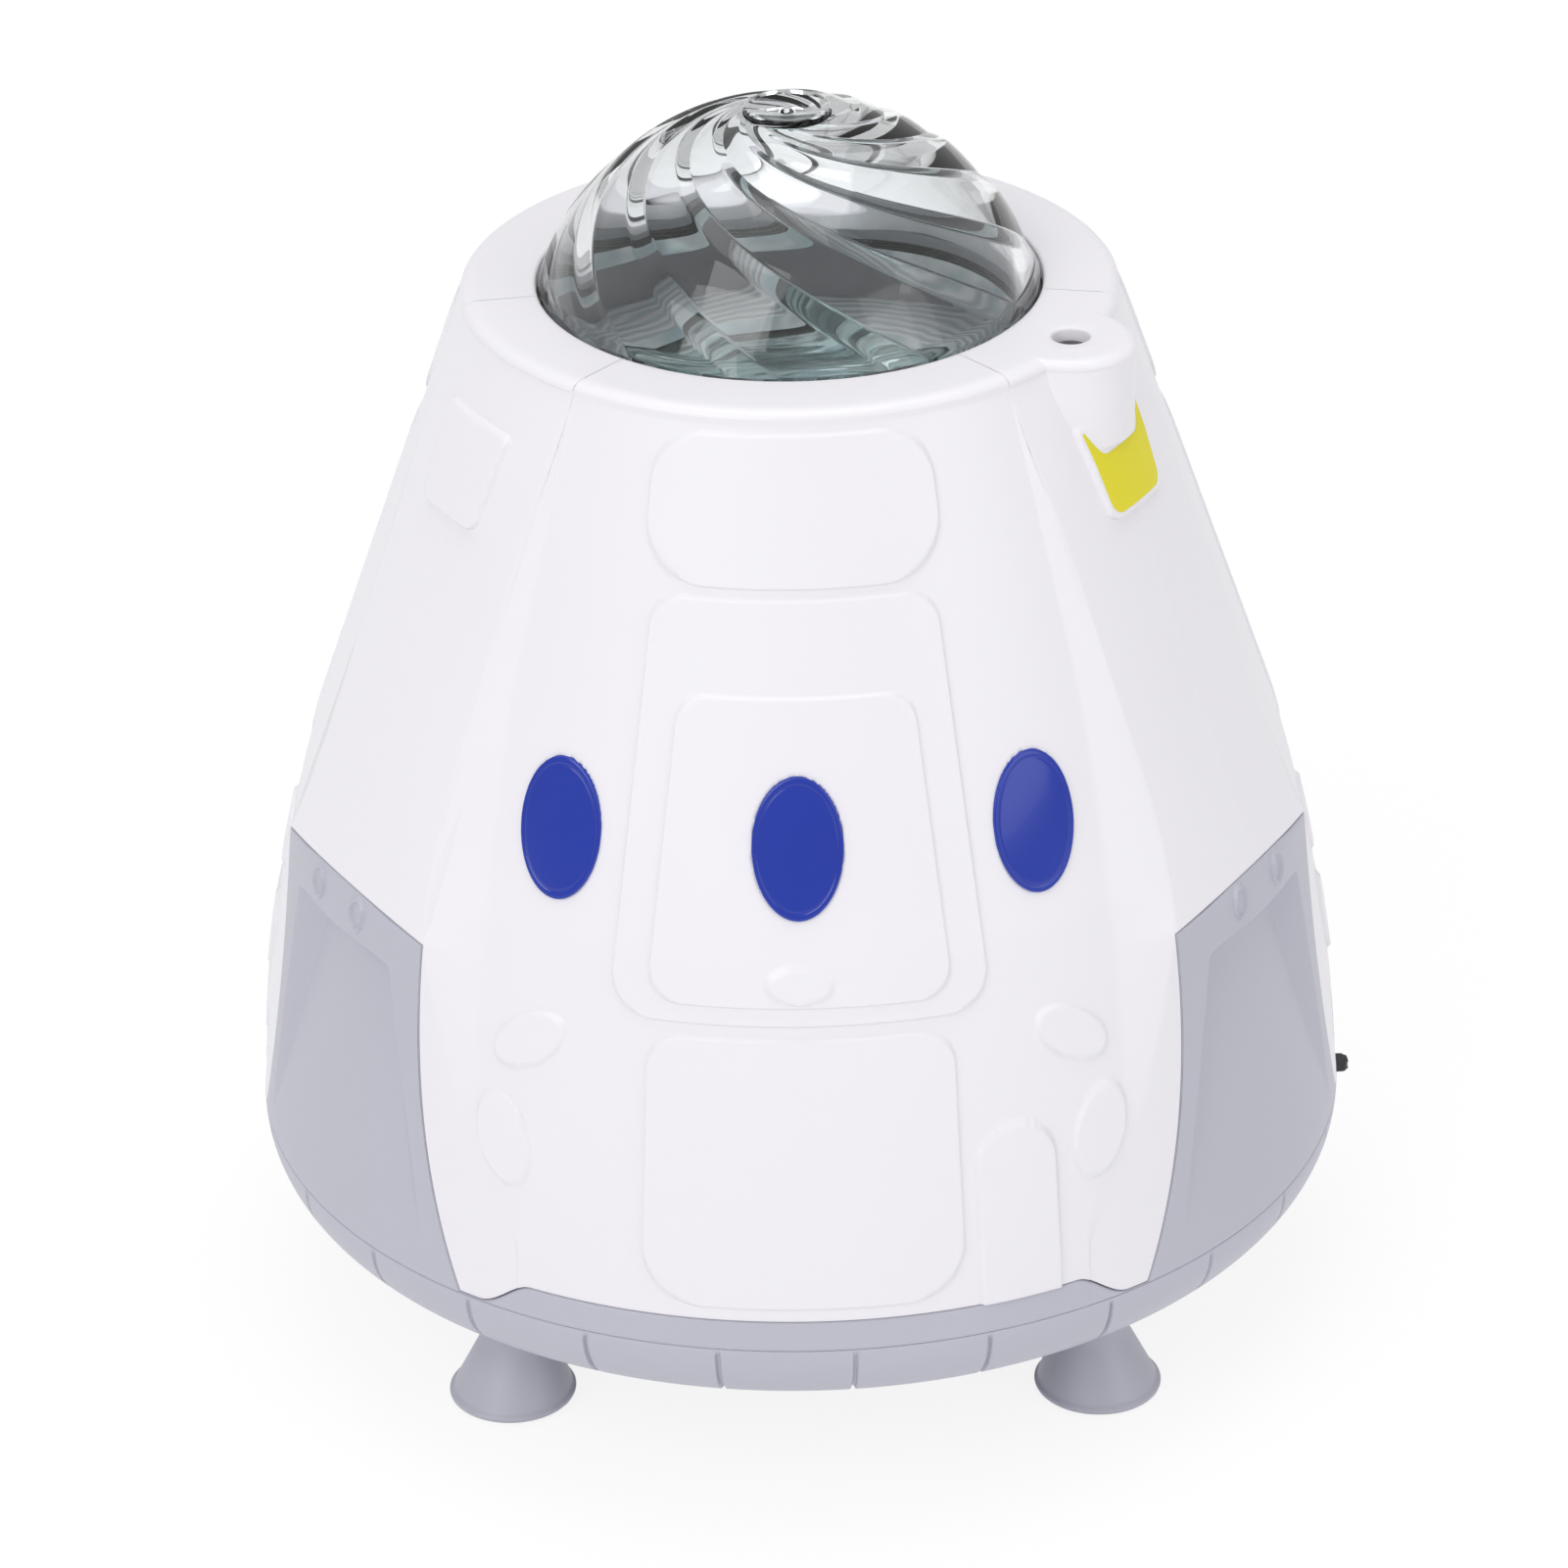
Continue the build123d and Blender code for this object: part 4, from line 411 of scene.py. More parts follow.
def body_radius(azimuth, height):
    """Radius of the bare capsule: the face, a bevel ruled from its inner crease to its outer crease, and
    the raised side. The inner crease is softer than the outer one."""
    offset = abs(azimuth % 120.0 - 60.0)
    inner, outer = crease_angle(CREASE_INNER, height), crease_angle(CREASE_OUTER, height)
    share = (inner - offset) / np.maximum(inner - outer, 0.1)
    share = soft_least(soft_most(share, 0.0, 0.12), 1.0, 0.03)
    radius = face_radius(height)
    return radius + (side_radius(height) - radius) * np.clip(share, 0.0, 1.0)


def white_radius(azimuth, height):
    """Radius of the white shell: the capsule with raised panels, sunk window seats, the laser boss and a
    soft lip below the ring. Each panel adds its height times a step across its outline, a straight slope
    with a little rounding at either end."""
    half = size("relief_edge") / 2.0
    local = (azimuth + 60.0) % 120.0 - 60.0
    radius = face_radius(height)
    x = aside(radius, local)

    def step(distance):
        return ease(-half, half, distance)

    shallow = np.maximum(step(inside_panel(x, height, *TOP_PANEL)), step(inside_panel(x, height, *LOWER_PANEL)))
    door = step(inside_panel(x, height, *DOOR_OUTER)) + step(inside_panel(x, height, *DOOR_INNER))
    door += step(inside_oval(x, height - HANDLE[0], *HANDLE[1:]))
    across = aside(radius, local - ARCH[0])
    arch = step(corner(ARCH[1] - abs(across), ARCH[2] - height, ARCH[1]))
    relief = np.maximum(np.maximum(shallow, arch), door)
    for azimuth_mid, rise, wide, tall, turn in ELLIPSES:
        for way in (-1.0, 1.0):
            across = aside(radius, local - way * azimuth_mid)
            relief = np.maximum(relief, step(inside_oval(across, height - rise, wide, tall, way * turn)))
    relief = relief * size("relief")
    rise, wide, tall = PORTHOLE_OVAL
    for _, azimuth_mid, lean in PORTHOLES:
        across = aside(radius, azimuth - azimuth_mid)
        oval = inside_oval(across, height - rise + PORTHOLE_DROP * (azimuth_mid != 0.0), wide, tall, lean)
        relief -= np.where(np.cos(np.radians(azimuth)) > 0.0, PORTHOLE_SEAT * ease(0.1, 0.6, oval), 0.0)
    side_x = across_side(azimuth, height)
    pad = size("pad_relief") * step(inside_panel(side_x, height, *SIDE_PAD))
    lip = RING_LIP[0] * ease(RING_LIP[1] - 0.35, RING_LIP[1], height)
    witness = WITNESS[0] * np.exp(-((side_x / WITNESS[1]) ** 2)) * ease(134.0, 126.0, height)
    bare = body_radius(azimuth, height) + relief + pad + witness
    turn = np.radians(azimuth - LASER[1])
    reach = BOSS_RADIUS**2 - (LASER[0] * np.sin(turn)) ** 2
    boss = LASER[0] * np.cos(turn) + np.sqrt(np.maximum(reach, 0.0))
    boss -= BOSS_STEP * ease(BOSS_FOOT + 0.9, BOSS_FOOT, height)
    near = (reach > 0.0) & (np.cos(turn) > 0.0) & (height > BOSS_FOOT - 0.5)
    blend = 0.3 + 1.5 * ease(118.0, 128.0, height)
    return np.where(near, soft_most(bare, boss, blend), bare) + lip


def split_height(local, grow):
    """Height of the band's upper edge at an azimuth from a face's middle: level, then down in a wave at
    each end. Grow widens the grey side."""
    x = aside(SEAM_RADIUS, abs(local))
    return BAND_RISE + grow - (BAND_RISE - WHITE_FOOT) * ease(WAVE[0] + grow, WAVE[1] + grow, x)


def flank_angle(height, grow):
    """Angle from a side's middle to the flank of its grey panel, on a cubic through the half widths."""
    halves, heights = (np.array(part) for part in zip(*PANEL_EDGE))
    height = np.minimum(height, heights[-1])
    half = np.polyval(np.polyfit(heights, halves, 3), height) + grow
    return angle_of(half, side_radius(height))


def outer_angle(height, gap):
    """Angle from a face's middle to the end of its zone: the panel's flank below, the crease above."""
    corner_height = PANEL_EDGE[-1][1]
    high = crease_angle(CREASE_OUTER, height)
    step = flank_angle(corner_height, gap) - crease_angle(CREASE_OUTER, corner_height)
    high = high + step * (1.0 - ease(corner_height, corner_height + 12.0, height))
    return 60.0 - np.where(height < corner_height, flank_angle(height, gap), high)


def crown_height(share):
    """Height of a grey panel's top edge, a parabola over its half width, whose share is given."""
    corner_height = PANEL_EDGE[-1][1]
    return corner_height + (PANEL_CROWN - corner_height) * (1.0 - share**2)


def segmented(plan):
    """Columns as segment plus share, from each segment's count and the places where they crowd."""
    parts = [crowded(0.0, 1.0, count + 1, places)[:-1] for count, places in plan]
    return np.concatenate([segment + share for segment, share in enumerate(parts)])


def between(columns, light_streaks):
    """Angle at each (segment, share): that share of the way from the segment's line to the next."""
    angle = light_streaks[0]
    for segment in range(len(light_streaks) - 1):
        angle = angle + np.clip(columns - segment, 0.0, 1.0) * (light_streaks[segment + 1] - light_streaks[segment])
    return angle


def zone_azimuth(columns, height, gap):
    """Azimuth from a face's middle at each (segment, share): between the middle, the inner and outer
    panel lines, the crease and the end of the zone."""
    radius = face_radius(height)
    light_streaks = [np.zeros_like(height)]
    for line in (INNER_LINE, OUTER_LINE):
        heights, halves = np.array(line).T
        light_streaks.append(angle_of(np.interp(height, heights, halves), radius))
    end = outer_angle(height, gap)
    crease = 60.0 - crease_angle(CREASE_INNER, height)
    return between(columns, light_streaks + [np.minimum(crease, end - 0.3), end])


def ring_rows(azimuth, edge, hidden=0.0):
    """Rows over the ring: round its edge, level to the hole, down the hole and back under the top wall.
    Where hidden is 1 the rows lie below the ring's skin."""
    wide, tall = RING_ROUND
    rows = []
    for angle in np.radians([15.0, 30.0, 45.0, 60.0, 75.0, 90.0]):
        rows.append((edge - wide * (1.0 - np.cos(angle)), RING_RISE - tall * (1.0 - np.sin(angle)) - hidden))
    for share in np.linspace(0.0, 1.0, 21)[1:]:
        rows.append(((edge - wide) * (1.0 - share) + (HOLE + 0.4 + hidden) * share, RING_RISE - hidden))
    for radius, height in ((HOLE + 0.12, RING_RISE - 0.12), (HOLE, RING_RISE - 0.4), (HOLE, CEILING)):
        rows.append((radius + hidden, height - hidden * (height > CEILING)))
    rows.append((face_radius(CEILING) - SHELL_WALL, CEILING))
    return [(radius, height, azimuth) for radius, height in rows]


def inner_rows(azimuth, low, extra):
    """Rows down the inside of the wall, from under the ring to the foot."""
    heights = [CEILING + (low - CEILING) * share for share in np.linspace(0.0, 1.0, 12)[1:]]
    return [(body_radius(azimuth, height) - SHELL_WALL - extra, height, azimuth) for height in heights]


def face_half(middle, way):
    """Points of half a white face as a loop of rows, from its middle to its end, with a rounded free edge
    along the grey panel and a flange behind it. Way is 1 to the right and -1 to the left."""
    gap = size("split_gap") / 2.0
    columns = np.concatenate([segmented(FACE_COLUMNS), np.full(5, 4.0)])
    inset = ending(len(columns), EDGE_INSET + (0.0,))
    sunk = ending(len(columns), [0.0, 0.05, 0.22, SHELL_WALL, SHELL_WALL])
    hidden = 1.0 * (sunk == SHELL_WALL)
    top = RING_RISE - RING_ROUND[1]

    def across(height):
        """Azimuth of every column at its height; the last column is the flange's end."""
        azimuth = zone_azimuth(columns, height, gap)
        azimuth = np.minimum(azimuth, outer_angle(height, gap) - np.degrees(inset / EDGE_ARM))
        azimuth[..., -1] = FLANGE
        return azimuth

    def settled(share, grow):
        """Heights and azimuths at a share of the way from the foot to the ring. The foot's height depends
        on the azimuth and the azimuth on the height, so the two are found in turns."""
        height = np.full_like(columns * share, 3.0)
        for _ in range(8):
            local = across(height)
            foot = split_height(local, gap + grow)
            height = foot + (top - foot) * share
        return height, local

    shares = crowded(0.0, 1.0, 268, [((at - 5.2) / 127.9, 0.0045, 4.0) for at in PLACES_UP])
    rows = []
    for grow, sink in ((0.0, SHELL_WALL), (0.0, 0.22), (0.05, 0.05)):
        foot, local = settled(0.0, grow)
        rows.append((white_radius(middle + way * local, foot) - np.maximum(sink, sunk), foot, local))
    height, local = settled(shares[:, None], 0.16)
    free = ease(PANEL_EDGE[-1][1] + 0.2, PANEL_EDGE[-1][1], height)
    outer = white_radius(middle + way * local, height) - sunk * np.maximum(hidden, free)
    rows += zip(outer, height, local)
    rows += ring_rows(local[-1], outer[-1], hidden)
    low, local = settled(0.0, 0.0)
    rows += inner_rows(local, low, 1.0)
    return sink_laser_seat(placed(rows, middle, way))


def side_top(middle):
    """Points of a white side above its grey panel as a loop of rows between its creases."""
    gap = size("split_gap") / 2.0
    share = crowded(-1.0, 1.0, 181, [(way * 0.57, 0.05, 2.0) for way in (-1, 1)] + [(0.0, 0.02, 2.0)])
    crown = crown_height(share)
    top = RING_RISE - RING_ROUND[1]
    shares = crowded(0.0, 1.0, 190, [((at - 55.0) / 77.8, 0.007, 3.0) for at in SIDE_PLACES_UP])

    def across(height):
        return share * (60.0 - outer_angle(np.maximum(height, PANEL_EDGE[-1][1]), gap))

    def row(height, sink):
        """A row, or several, at its heights and sunk below the surface."""
        turn = across(height)
        return white_radius(middle + turn, height) - sink, height, turn

    edges = ((0.0, SHELL_WALL), (0.0, 0.22), (0.05, 0.05), (0.16, 0.0))
    rows = [row(crown + gap + grow, sink) for grow, sink in edges]
    foot = rows[-1][1]
    rows += zip(*row(foot + (top - foot) * shares[1:, None], 0.0))
    edge, _, turn = rows[-1]
    rows += ring_rows(turn, edge) + inner_rows(turn, crown + gap, 0.0)
    return sink_laser_seat(placed(rows, middle))


def distance_from(points, radius, azimuth):
    """Level distance of points from the upright axis at a radius and an azimuth."""
    centre = place(radius, azimuth, 0.0)
    return np.hypot(points[..., 0] - centre[0], points[..., 1] - centre[1])


def sink_laser_seat(points):
    """Lowers the points of the ring's top that lie under the laser collar, clear of its hole."""
    low = SEAM + CEILING
    under = (distance_from(points, *LASER) < 4.0) & (points[..., 2] > low)
    points[..., 2] = np.where(under, low + 0.02, points[..., 2])
    return points


# ---- finishes
def new_material(name):
    """An empty node material with an output and one principled shader."""
    material = bpy.data.materials.new(name)
    material.use_nodes = True
    tree = material.node_tree
    tree.nodes.clear()
    output = add_node(tree, "ShaderNodeOutputMaterial")
    shader = add_node(tree, "ShaderNodeBsdfPrincipled")
    tree.links.new(shader.outputs[0], output.inputs["Surface"])
    return material, tree, shader


def add_node(tree, kind, settings=None, values=None, links=None):
    """Adds a node with its settings, its input values and the links into it."""
    node = tree.nodes.new(kind)
    for key, value in (settings or {}).items():
        setattr(node, key, value)
    for key, value in (values or {}).items():
        node.inputs[key].default_value = value
    for key, source in (links or {}).items():
        tree.links.new(source, node.inputs[key])
    return node


def with_alpha(rgb):
    """A colour with 1 as its fourth number."""
    return (*rgb, 1.0)


def shader_values(shader, **values):
    """Sets the shader's own sockets by name, with underscores for spaces."""
    for key, value in values.items():
        shader.inputs[key.replace("_", " ")].default_value = value


def noise_node(tree, place_node, pitch, detail):
    """Noise whose lumps are pitch millimetres apart, in the object's own coordinates."""
    values = {"Scale": 1.0 / (pitch * MM), "Detail": detail}
    return add_node(tree, "ShaderNodeTexNoise", values=values, links={"Vector": place_node.outputs["Object"]})


def bump(tree, shader, source, strength, depth):
    """Turns a pattern into relief depth millimetres high."""
    values = {"Strength": strength, "Distance": depth * MM}
    node = add_node(tree, "ShaderNodeBump", values=values, links={"Height": source.outputs["Fac"]})
    tree.links.new(node.outputs["Normal"], shader.inputs["Normal"])


def tint(tree, shader, source, low, high):
    """Colours the surface between two colours by a pattern."""
    links = {"Factor": source.outputs["Fac"]}
    node = add_node(tree, "ShaderNodeMix", settings={"data_type": "RGBA"}, links=links)
    node.inputs["A"].default_value = with_alpha(low)
    node.inputs["B"].default_value = with_alpha(high)
    tree.links.new(node.outputs["Result"], shader.inputs["Base Color"])


def grained(tree, shader, rgb, pitch, strength, depth, spread, patch, rough, rough_spread):
    """Fine grain pitch apart and depth high, under a colour and a roughness that wander over patches of
    some millimetres, as flow and handling leave them on a moulding."""
    place_node = add_node(tree, "ShaderNodeTexCoord")
    bump(tree, shader, noise_node(tree, place_node, pitch, 2.0), strength, depth)
    noise = noise_node(tree, place_node, patch, 3.0)
    tint(tree, shader, noise, [c * (1.0 - spread) for c in rgb], [min(1.0, c * (1.0 + spread)) for c in rgb])
    values = {"To Min": rough - rough_spread, "To Max": rough + rough_spread}
    rough_map = add_node(tree, "ShaderNodeMapRange", values=values, links={"Value": noise.outputs["Fac"]})
    tree.links.new(rough_map.outputs["Result"], shader.inputs["Roughness"])


def moulded_plastic(name, rgb, rough, pitch=0.35, spread=0.012):
    """ABS from a spark-eroded mould: an even satin face with a fine orange-peel grain."""
    material, tree, shader = new_material(name)
    shader_values(shader, IOR=ABS_IOR, Specular_IOR_Level=0.5)
    grained(tree, shader, rgb, pitch, 0.12, 0.012, spread, 30.0, rough, 0.04)
    return material


def clear_plastic(name, rgb, rough, ior=ACRYLIC_IOR):
    """Moulded acrylic or polycarbonate with a polished face, clear."""
    material, _, shader = new_material(name)
    shader_values(shader, Base_Color=with_alpha(rgb), Roughness=rough, IOR=ior, Transmission_Weight=1.0)
    return material


def plastic_with_painted_light_streaks(name, dark, light):
    """Moulded ABS under a thin lacquer, with painted light: curved light and dark streaks about 2 mm apart
    round the axis, painted into its colour and also bumped, which stand for the streaks of light seen through
    the dome.
    """
    material, tree, shader = new_material(name)
    shader_values(shader, IOR=ABS_IOR, Metallic=0.35, Roughness=0.2)
    light_streaks = add_node(
        tree,
        "ShaderNodeTexWave",
        settings={"wave_type": "RINGS", "rings_direction": "Z"},
        values={"Scale": 150.0, "Distortion": 16.0, "Detail": 3.0, "Detail Scale": 0.4},
        links={"Vector": add_node(tree, "ShaderNodeTexCoord").outputs["Object"]},
    )
    # painted light: the streaks' light and dark tones are painted into the base colour
    tint(tree, shader, light_streaks, dark, light)
    bump(tree, shader, light_streaks, 0.5, 0.25)
    return material


def silvered_plastic(name, rgb):
    """Clear acrylic under a thin vacuum-metallised film, which mirrors about a third of the light."""
    material, _, shader = new_material(name)
    shader_values(shader, Base_Color=with_alpha(rgb), Roughness=0.06, IOR=ACRYLIC_IOR)
    shader_values(shader, Metallic=0.35, Transmission_Weight=0.9)
    return material


def metal(name, rgb, rough, light_streaks=0.0):
    """Bare metal: turned, extruded or plated, with tool lines in its roughness."""
    material, tree, shader = new_material(name)
    shader_values(shader, Metallic=1.0)
    grained(tree, shader, rgb, 0.25, 0.1 + light_streaks, 0.01, 0.05, 8.0, rough, 0.06)
    return material


def blue_window(name, rgb):
    """Tinted polycarbonate with a polished face: deep colour under a hard clear gloss."""
    material, tree, shader = new_material(name)
    shader_values(shader, IOR=ACRYLIC_IOR, Coat_Weight=0.15, Coat_Roughness=0.03)
    grained(tree, shader, rgb, 6.0, 0.08, 0.02, 0.06, 14.0, 0.16, 0.03)
    return material


def finishes():
    """Every finish by name, made once. Each is named for its material and how its surface was made."""
    colours = bpy.context.scene.projector_colours
    stored = {m.name: m for m in bpy.data.materials}
    wanted = {
        "white_abs_moulded": (moulded_plastic, colours.white, 0.36),
        "grey_abs_moulded": (moulded_plastic, colours.grey, 0.42, 0.35, 0.02),
        "blue_polycarbonate_polished": (blue_window, colours.blue),
        "black_nylon_moulded": (moulded_plastic, colours.knob, 0.5, 0.25, 0.08),
        # painted light: the inner plastic gets light and dark streaks painted into its colour
        "grey_abs_inner": (plastic_with_painted_light_streaks, linear("#CAD8DC"), linear("#FBFDFD")),
        "acetal_moulded": (moulded_plastic, linear("#E9E7DF"), 0.45, 0.3, 0.02),
        "polycarbonate_clear": (clear_plastic, colours.clear, 0.0),
        "acrylic_clear": (clear_plastic, colours.clear, 0.0),
        "acrylic_ripple": (silvered_plastic, colours.ripple),
        "star_film": (clear_plastic, colours.star, 0.08, 1.5),
        "reflector_metallised": (metal, linear("#E4E6EA"), 0.05),
        "aluminium_extruded": (metal, linear("#C3C6CB"), 0.35, 0.1),
        "steel_plated": (metal, linear("#A9ABAF"), 0.32),
        "brass_turned": (metal, linear("#C9A75A"), 0.28, 0.1),
        "board_solder_mask": (moulded_plastic, linear("#1F6B3A"), 0.35, 0.8, 0.1),
        "phosphor_silicone": (moulded_plastic, linear("#F2DC8C"), 0.3, 0.2, 0.03),
        "rubber_moulded": (moulded_plastic, linear("#2B2B2D"), 0.75, 0.3, 0.1),
        "label_vinyl_printed": (moulded_plastic, colours.label, 0.45, 0.6, 0.015),
        "laser_glass": (moulded_plastic, linear("#3A3034"), 0.1, 1.0, 0.1),
    }
    for name, (make, *values) in wanted.items():
        if name not in stored:
            stored[name] = make(name, *values)
    return stored


# ---- pieces
class PROJECTOR_OT_white_shell(bpy.types.Operator):
    """Builds the white upper shell: two halves of each face, the three sides and the laser hole's collar"""

    bl_idname = "projector.white_shell"
    bl_label = "White shell"

    def execute(self, context):
        kind = ("white_abs_moulded", "white_shell", "upper_shell")
        for name, middle in FACES:
            for way, hand in ((1, "right"), (-1, "left")):
                loop_piece("shell_" + name + "_" + hand, face_half(middle, way)[:, ::way], *kind)
        for name, middle in SIDES:
            loop_piece("shell_side_" + name, side_top(middle), *kind)
        top = RING_RISE + 0.012
        profile = [(5.0, RING_RISE - 0.4), (5.0, top), (3.15, top), (2.92, top - 0.08), (2.8, top - 0.35)]
        profile += [(2.8, CEILING), (5.0, CEILING)]
        points = turned_ring(profile, 96, place(*LASER, 0.0))
        quads = grid_faces(*points.shape[:2], loop_rows=True, loop_columns=True)
        make_piece("laser_collar", points, quads, finishes()[kind[0]], slot=kind[1], nodes=[kind[2]])
        return {"FINISHED"}


class PROJECTOR_OT_grey_shell(bpy.types.Operator):
    """Builds the grey lower shell: three scooped panels and the three bands between them"""

    bl_idname = "projector.grey_shell"
    bl_label = "Grey shell"

    def execute(self, context):
        kind = ("grey_abs_moulded", "grey_shell", "lower_shell")
        for name, middle in SIDES:
            loop_piece("grey_panel_" + name, panel_points(middle), *kind)
        for name, middle in FACES:
            loop_piece("grey_band_" + name, band_points(middle), *kind)
        return {"FINISHED"}


def panel_points(middle):
    """Points of a grey panel as a loop of rows. Its columns follow the scoop's outline and the inner foot
    of its sloping wall, then the flank, whose edges are rounded."""
    gap = -size("split_gap") / 2.0
    share = np.concatenate([segmented(PANEL_COLUMNS), np.full(4, 3.0)])
    inset = ending(len(share), EDGE_INSET)
    sunk = ending(len(share), [0.0, 0.05, 0.22, GREY_WALL])
    sign = np.concatenate([-np.ones(len(share) - 1), np.ones(len(share))])
    share, inset, sunk = (np.concatenate([part[:0:-1], part]) for part in (share, inset, sunk))

    def across(height):
        """Angle from the side's middle of every column at its height."""
        radius = side_radius(height)
        half = tapered(height, *SCOOP)
        light_streaks = [np.zeros_like(height), half - scoop_wall(height), half]
        light_streaks = [angle_of(line, radius) for line in light_streaks] + [flank_angle(height, gap)]
        return sign * (between(share, light_streaks) - np.degrees(inset / EDGE_ARM))

    shares = crowded(0.0, 1.0, 170, SCOOP_CROWDING)
    crown = crown_height(np.clip(share / 3.0, 0.0, 1.0)) + gap

    def row(height, sink):
        """A row, or several, at its heights and sunk below the surface."""
        turn = across(height)
        return grey_radius(middle + turn, height) - np.maximum(sink, sunk), height, turn

    rows = [row(np.full_like(share, height), sink) for sink, height in FOOT_EDGE]
    low, high = rows[-1][1], crown - 0.16
    rows += zip(*row(low + (high - low) * shares[1:, None], 0.0))
    rows += [row(crown - drop, sink) for drop, sink in ((0.05, 0.05), (0.0, 0.22), (0.0, GREY_WALL))]
    for part in np.linspace(1.0, 0.0, 9)[1:-1]:
        height = crown * part
        turn = across(height)
        back = body_radius(middle + turn, height) - GREY_WALL - scoop_depth(middle + turn, height)
        rows.append((back, height, turn))
    return placed(rows, middle)


def band_points(middle):
    """Points of the grey band under a white face as a loop of rows: level, with a wave down at each end."""
    gap = size("split_gap") / 2.0
    end = 60.0 - flank_angle(np.array(0.0), gap) + 0.15
    local = crowded(-end, end, 201, [(way * 32.5, 3.5, 2.0) for way in (-1, 1)])

    def row(height, sink):
        """A row at its heights, sunk below the surface."""
        return body_radius(middle + local, height) - sink, height, local

    rows = [row(height, sink) for sink, height in FOOT_EDGE]
    low, high = FOOT_EDGE[-1][1], np.maximum(split_height(local, -gap - 0.2), FOOT_EDGE[-1][1] + 0.01)
    rows += [row(low + (high - low) * share, 0.0) for share in np.linspace(0.0, 1.0, 9)[1:]]
    top = np.maximum(split_height(local, -gap), high + 0.01)
    edges = ((0.3, 0.1), (0.0, 0.35), (0.0, GREY_WALL))
    return placed(rows + [row(top + (high - top) * drop, sink) for drop, sink in edges], middle)


def scoop_wall(height):
    """Width of a scoop's sloping side wall, in step with the scoop's depth."""
    return 0.9 + 4.0 * np.clip((height - SCOOP[2]) / (SCOOP[3] - SCOOP[2]), 0.0, 1.2)


def scoop_depth(azimuth, height):
    """Depth of the scoops: deepest at the top, fading to nothing at the foot, with straight sloping
    walls beside and a steep one above. The slope's two ends are rounded a little."""
    x = across_side(azimuth, height)
    foot, top = SCOOP[2:]
    beside = (tapered(height, *SCOOP) - abs(x)) / scoop_wall(height) * 4.0
    share = corner(beside, (top - height) * 4.0, 4.0) / 4.0
    share = soft_most(soft_least(share, 1.0, 0.1), 0.0, 0.06)
    fall = (height - foot) / (top - foot)
    return size("scoop_depth") * np.clip(fall, 0.0, 1.0) * np.clip(share, 0.0, 1.0)


def grey_radius(azimuth, height):
    """Radius of the grey shell: the capsule less the scoops, plus two small oval rings on each frame."""
    x = across_side(azimuth, height)
    apart, rise, wide, tall = FRAME_OVAL
    oval = inside_oval(abs(x) - apart, height - rise, wide, tall)
    ring = 0.5 * ease(-0.1, 0.12, oval) - 0.5 * ease(0.3, 0.6, oval)
    return body_radius(azimuth, height) - scoop_depth(azimuth, height) + ring


class PROJECTOR_OT_tray(bpy.types.Operator):
    """Builds the grey base tray with its upright grooves, switch slot, inlet hole and screw recesses"""

    bl_idname = "projector.tray"
    bl_label = "Base tray"

    def execute(self, context):
        count, phase = GROOVES
        places = [(phase + k * 360.0 / count, 0.5, 7.0) for k in range(count)]
        places += [(SWITCH[0], 2.6, 5.0), (INLET[0], 2.6, 5.0)]
        places += [(at, 2.0, 2.5) for at in TRAY_SCREWS[1]]
        columns = crowded(0.0, 360.0, 901, places)[:-1]
        centre_radius, centre_height = SEAM_RADIUS - TRAY_ROUND, TRAY_ROUND - TRAY_DEPTH
        arc = np.radians(crowded(0.0, 90.0, 64, [(32.0, 12.0, 1.5), (70.0, 6.0, 0.8)]))
        flank = [(centre_radius + TRAY_ROUND * np.cos(a), centre_height - TRAY_ROUND * np.sin(a)) for a in arc]
        floor = [(radius, -TRAY_DEPTH) for radius in (71.0, 69.0, 64.0, 56.0, 44.0, 30.0, 15.0, POLE)]
        rim = [(76.0, -0.02), (83.8, -0.02), (83.9, -0.05), (83.97, -0.12), (SEAM_RADIUS, -0.24)]
        outer = rim + flank[1:] + floor
        inner = [(radius, -9.6) for radius in (POLE, 30.0, 60.0, 72.6)]
        inner += [(79.0, -6.5), (81.4, -2.0), (76.0, -2.0)]
        profile = np.array(outer[::-1] + inner[::-1])
        radius = np.repeat(profile[:, :1], len(columns), 1)
        height = np.repeat(profile[:, 1:], len(columns), 1)
        is_outer = np.arange(len(profile))[:, None] < len(outer)
        near = (columns - phase + 180.0 / count) % (360.0 / count) - 180.0 / count
        across = radius * np.radians(near)
        half = size("groove_width") / 2.0
        cut = size("groove_depth") * ease(half, half - 0.3, abs(across)) * ease(-0.7, -1.2, height)
        slope = np.arctan2(centre_height - height, np.maximum(radius - centre_radius, 0.0) + 1e-6)
        cut = np.where(is_outer & (height < -0.5) & (radius > 66.0), cut, 0.0)
        radius = radius - cut * np.cos(slope)
        height = height + cut * np.sin(slope)
        for azimuth, rise, wide, tall in ((*SWITCH, 3.05, 1.3), (*INLET, 3.3, 3.3)):
            x = radius * np.radians((columns - azimuth + 180.0) % 360.0 - 180.0)
            if wide == tall:
                hole = wide - np.hypot(x, height - rise)
            else:
                hole = corner(wide - abs(x), tall - abs(height - rise), 0.3)
            push = TRAY_SINK * ease(-0.1, 0.15, hole)
            radius = radius - np.where(is_outer & (height > -11.0) & (radius > 76.0), push, 0.0)
        points = place(radius, columns[None, :], height)
        for azimuth in TRAY_SCREWS[1]:
            inside = ease(2.5, 2.3, distance_from(points, TRAY_SCREWS[0], azimuth))
            lift = inside * np.maximum(SEAM + SCREW_SEAT - points[..., 2], 0.0)
            points[..., 2] += np.where(is_outer & (height < -8.0), lift, 0.0)
        pole_piece("tray_skin", points, "grey_abs_moulded", slot="grey_shell", nodes=["base_tray"])
        return {"FINISHED"}


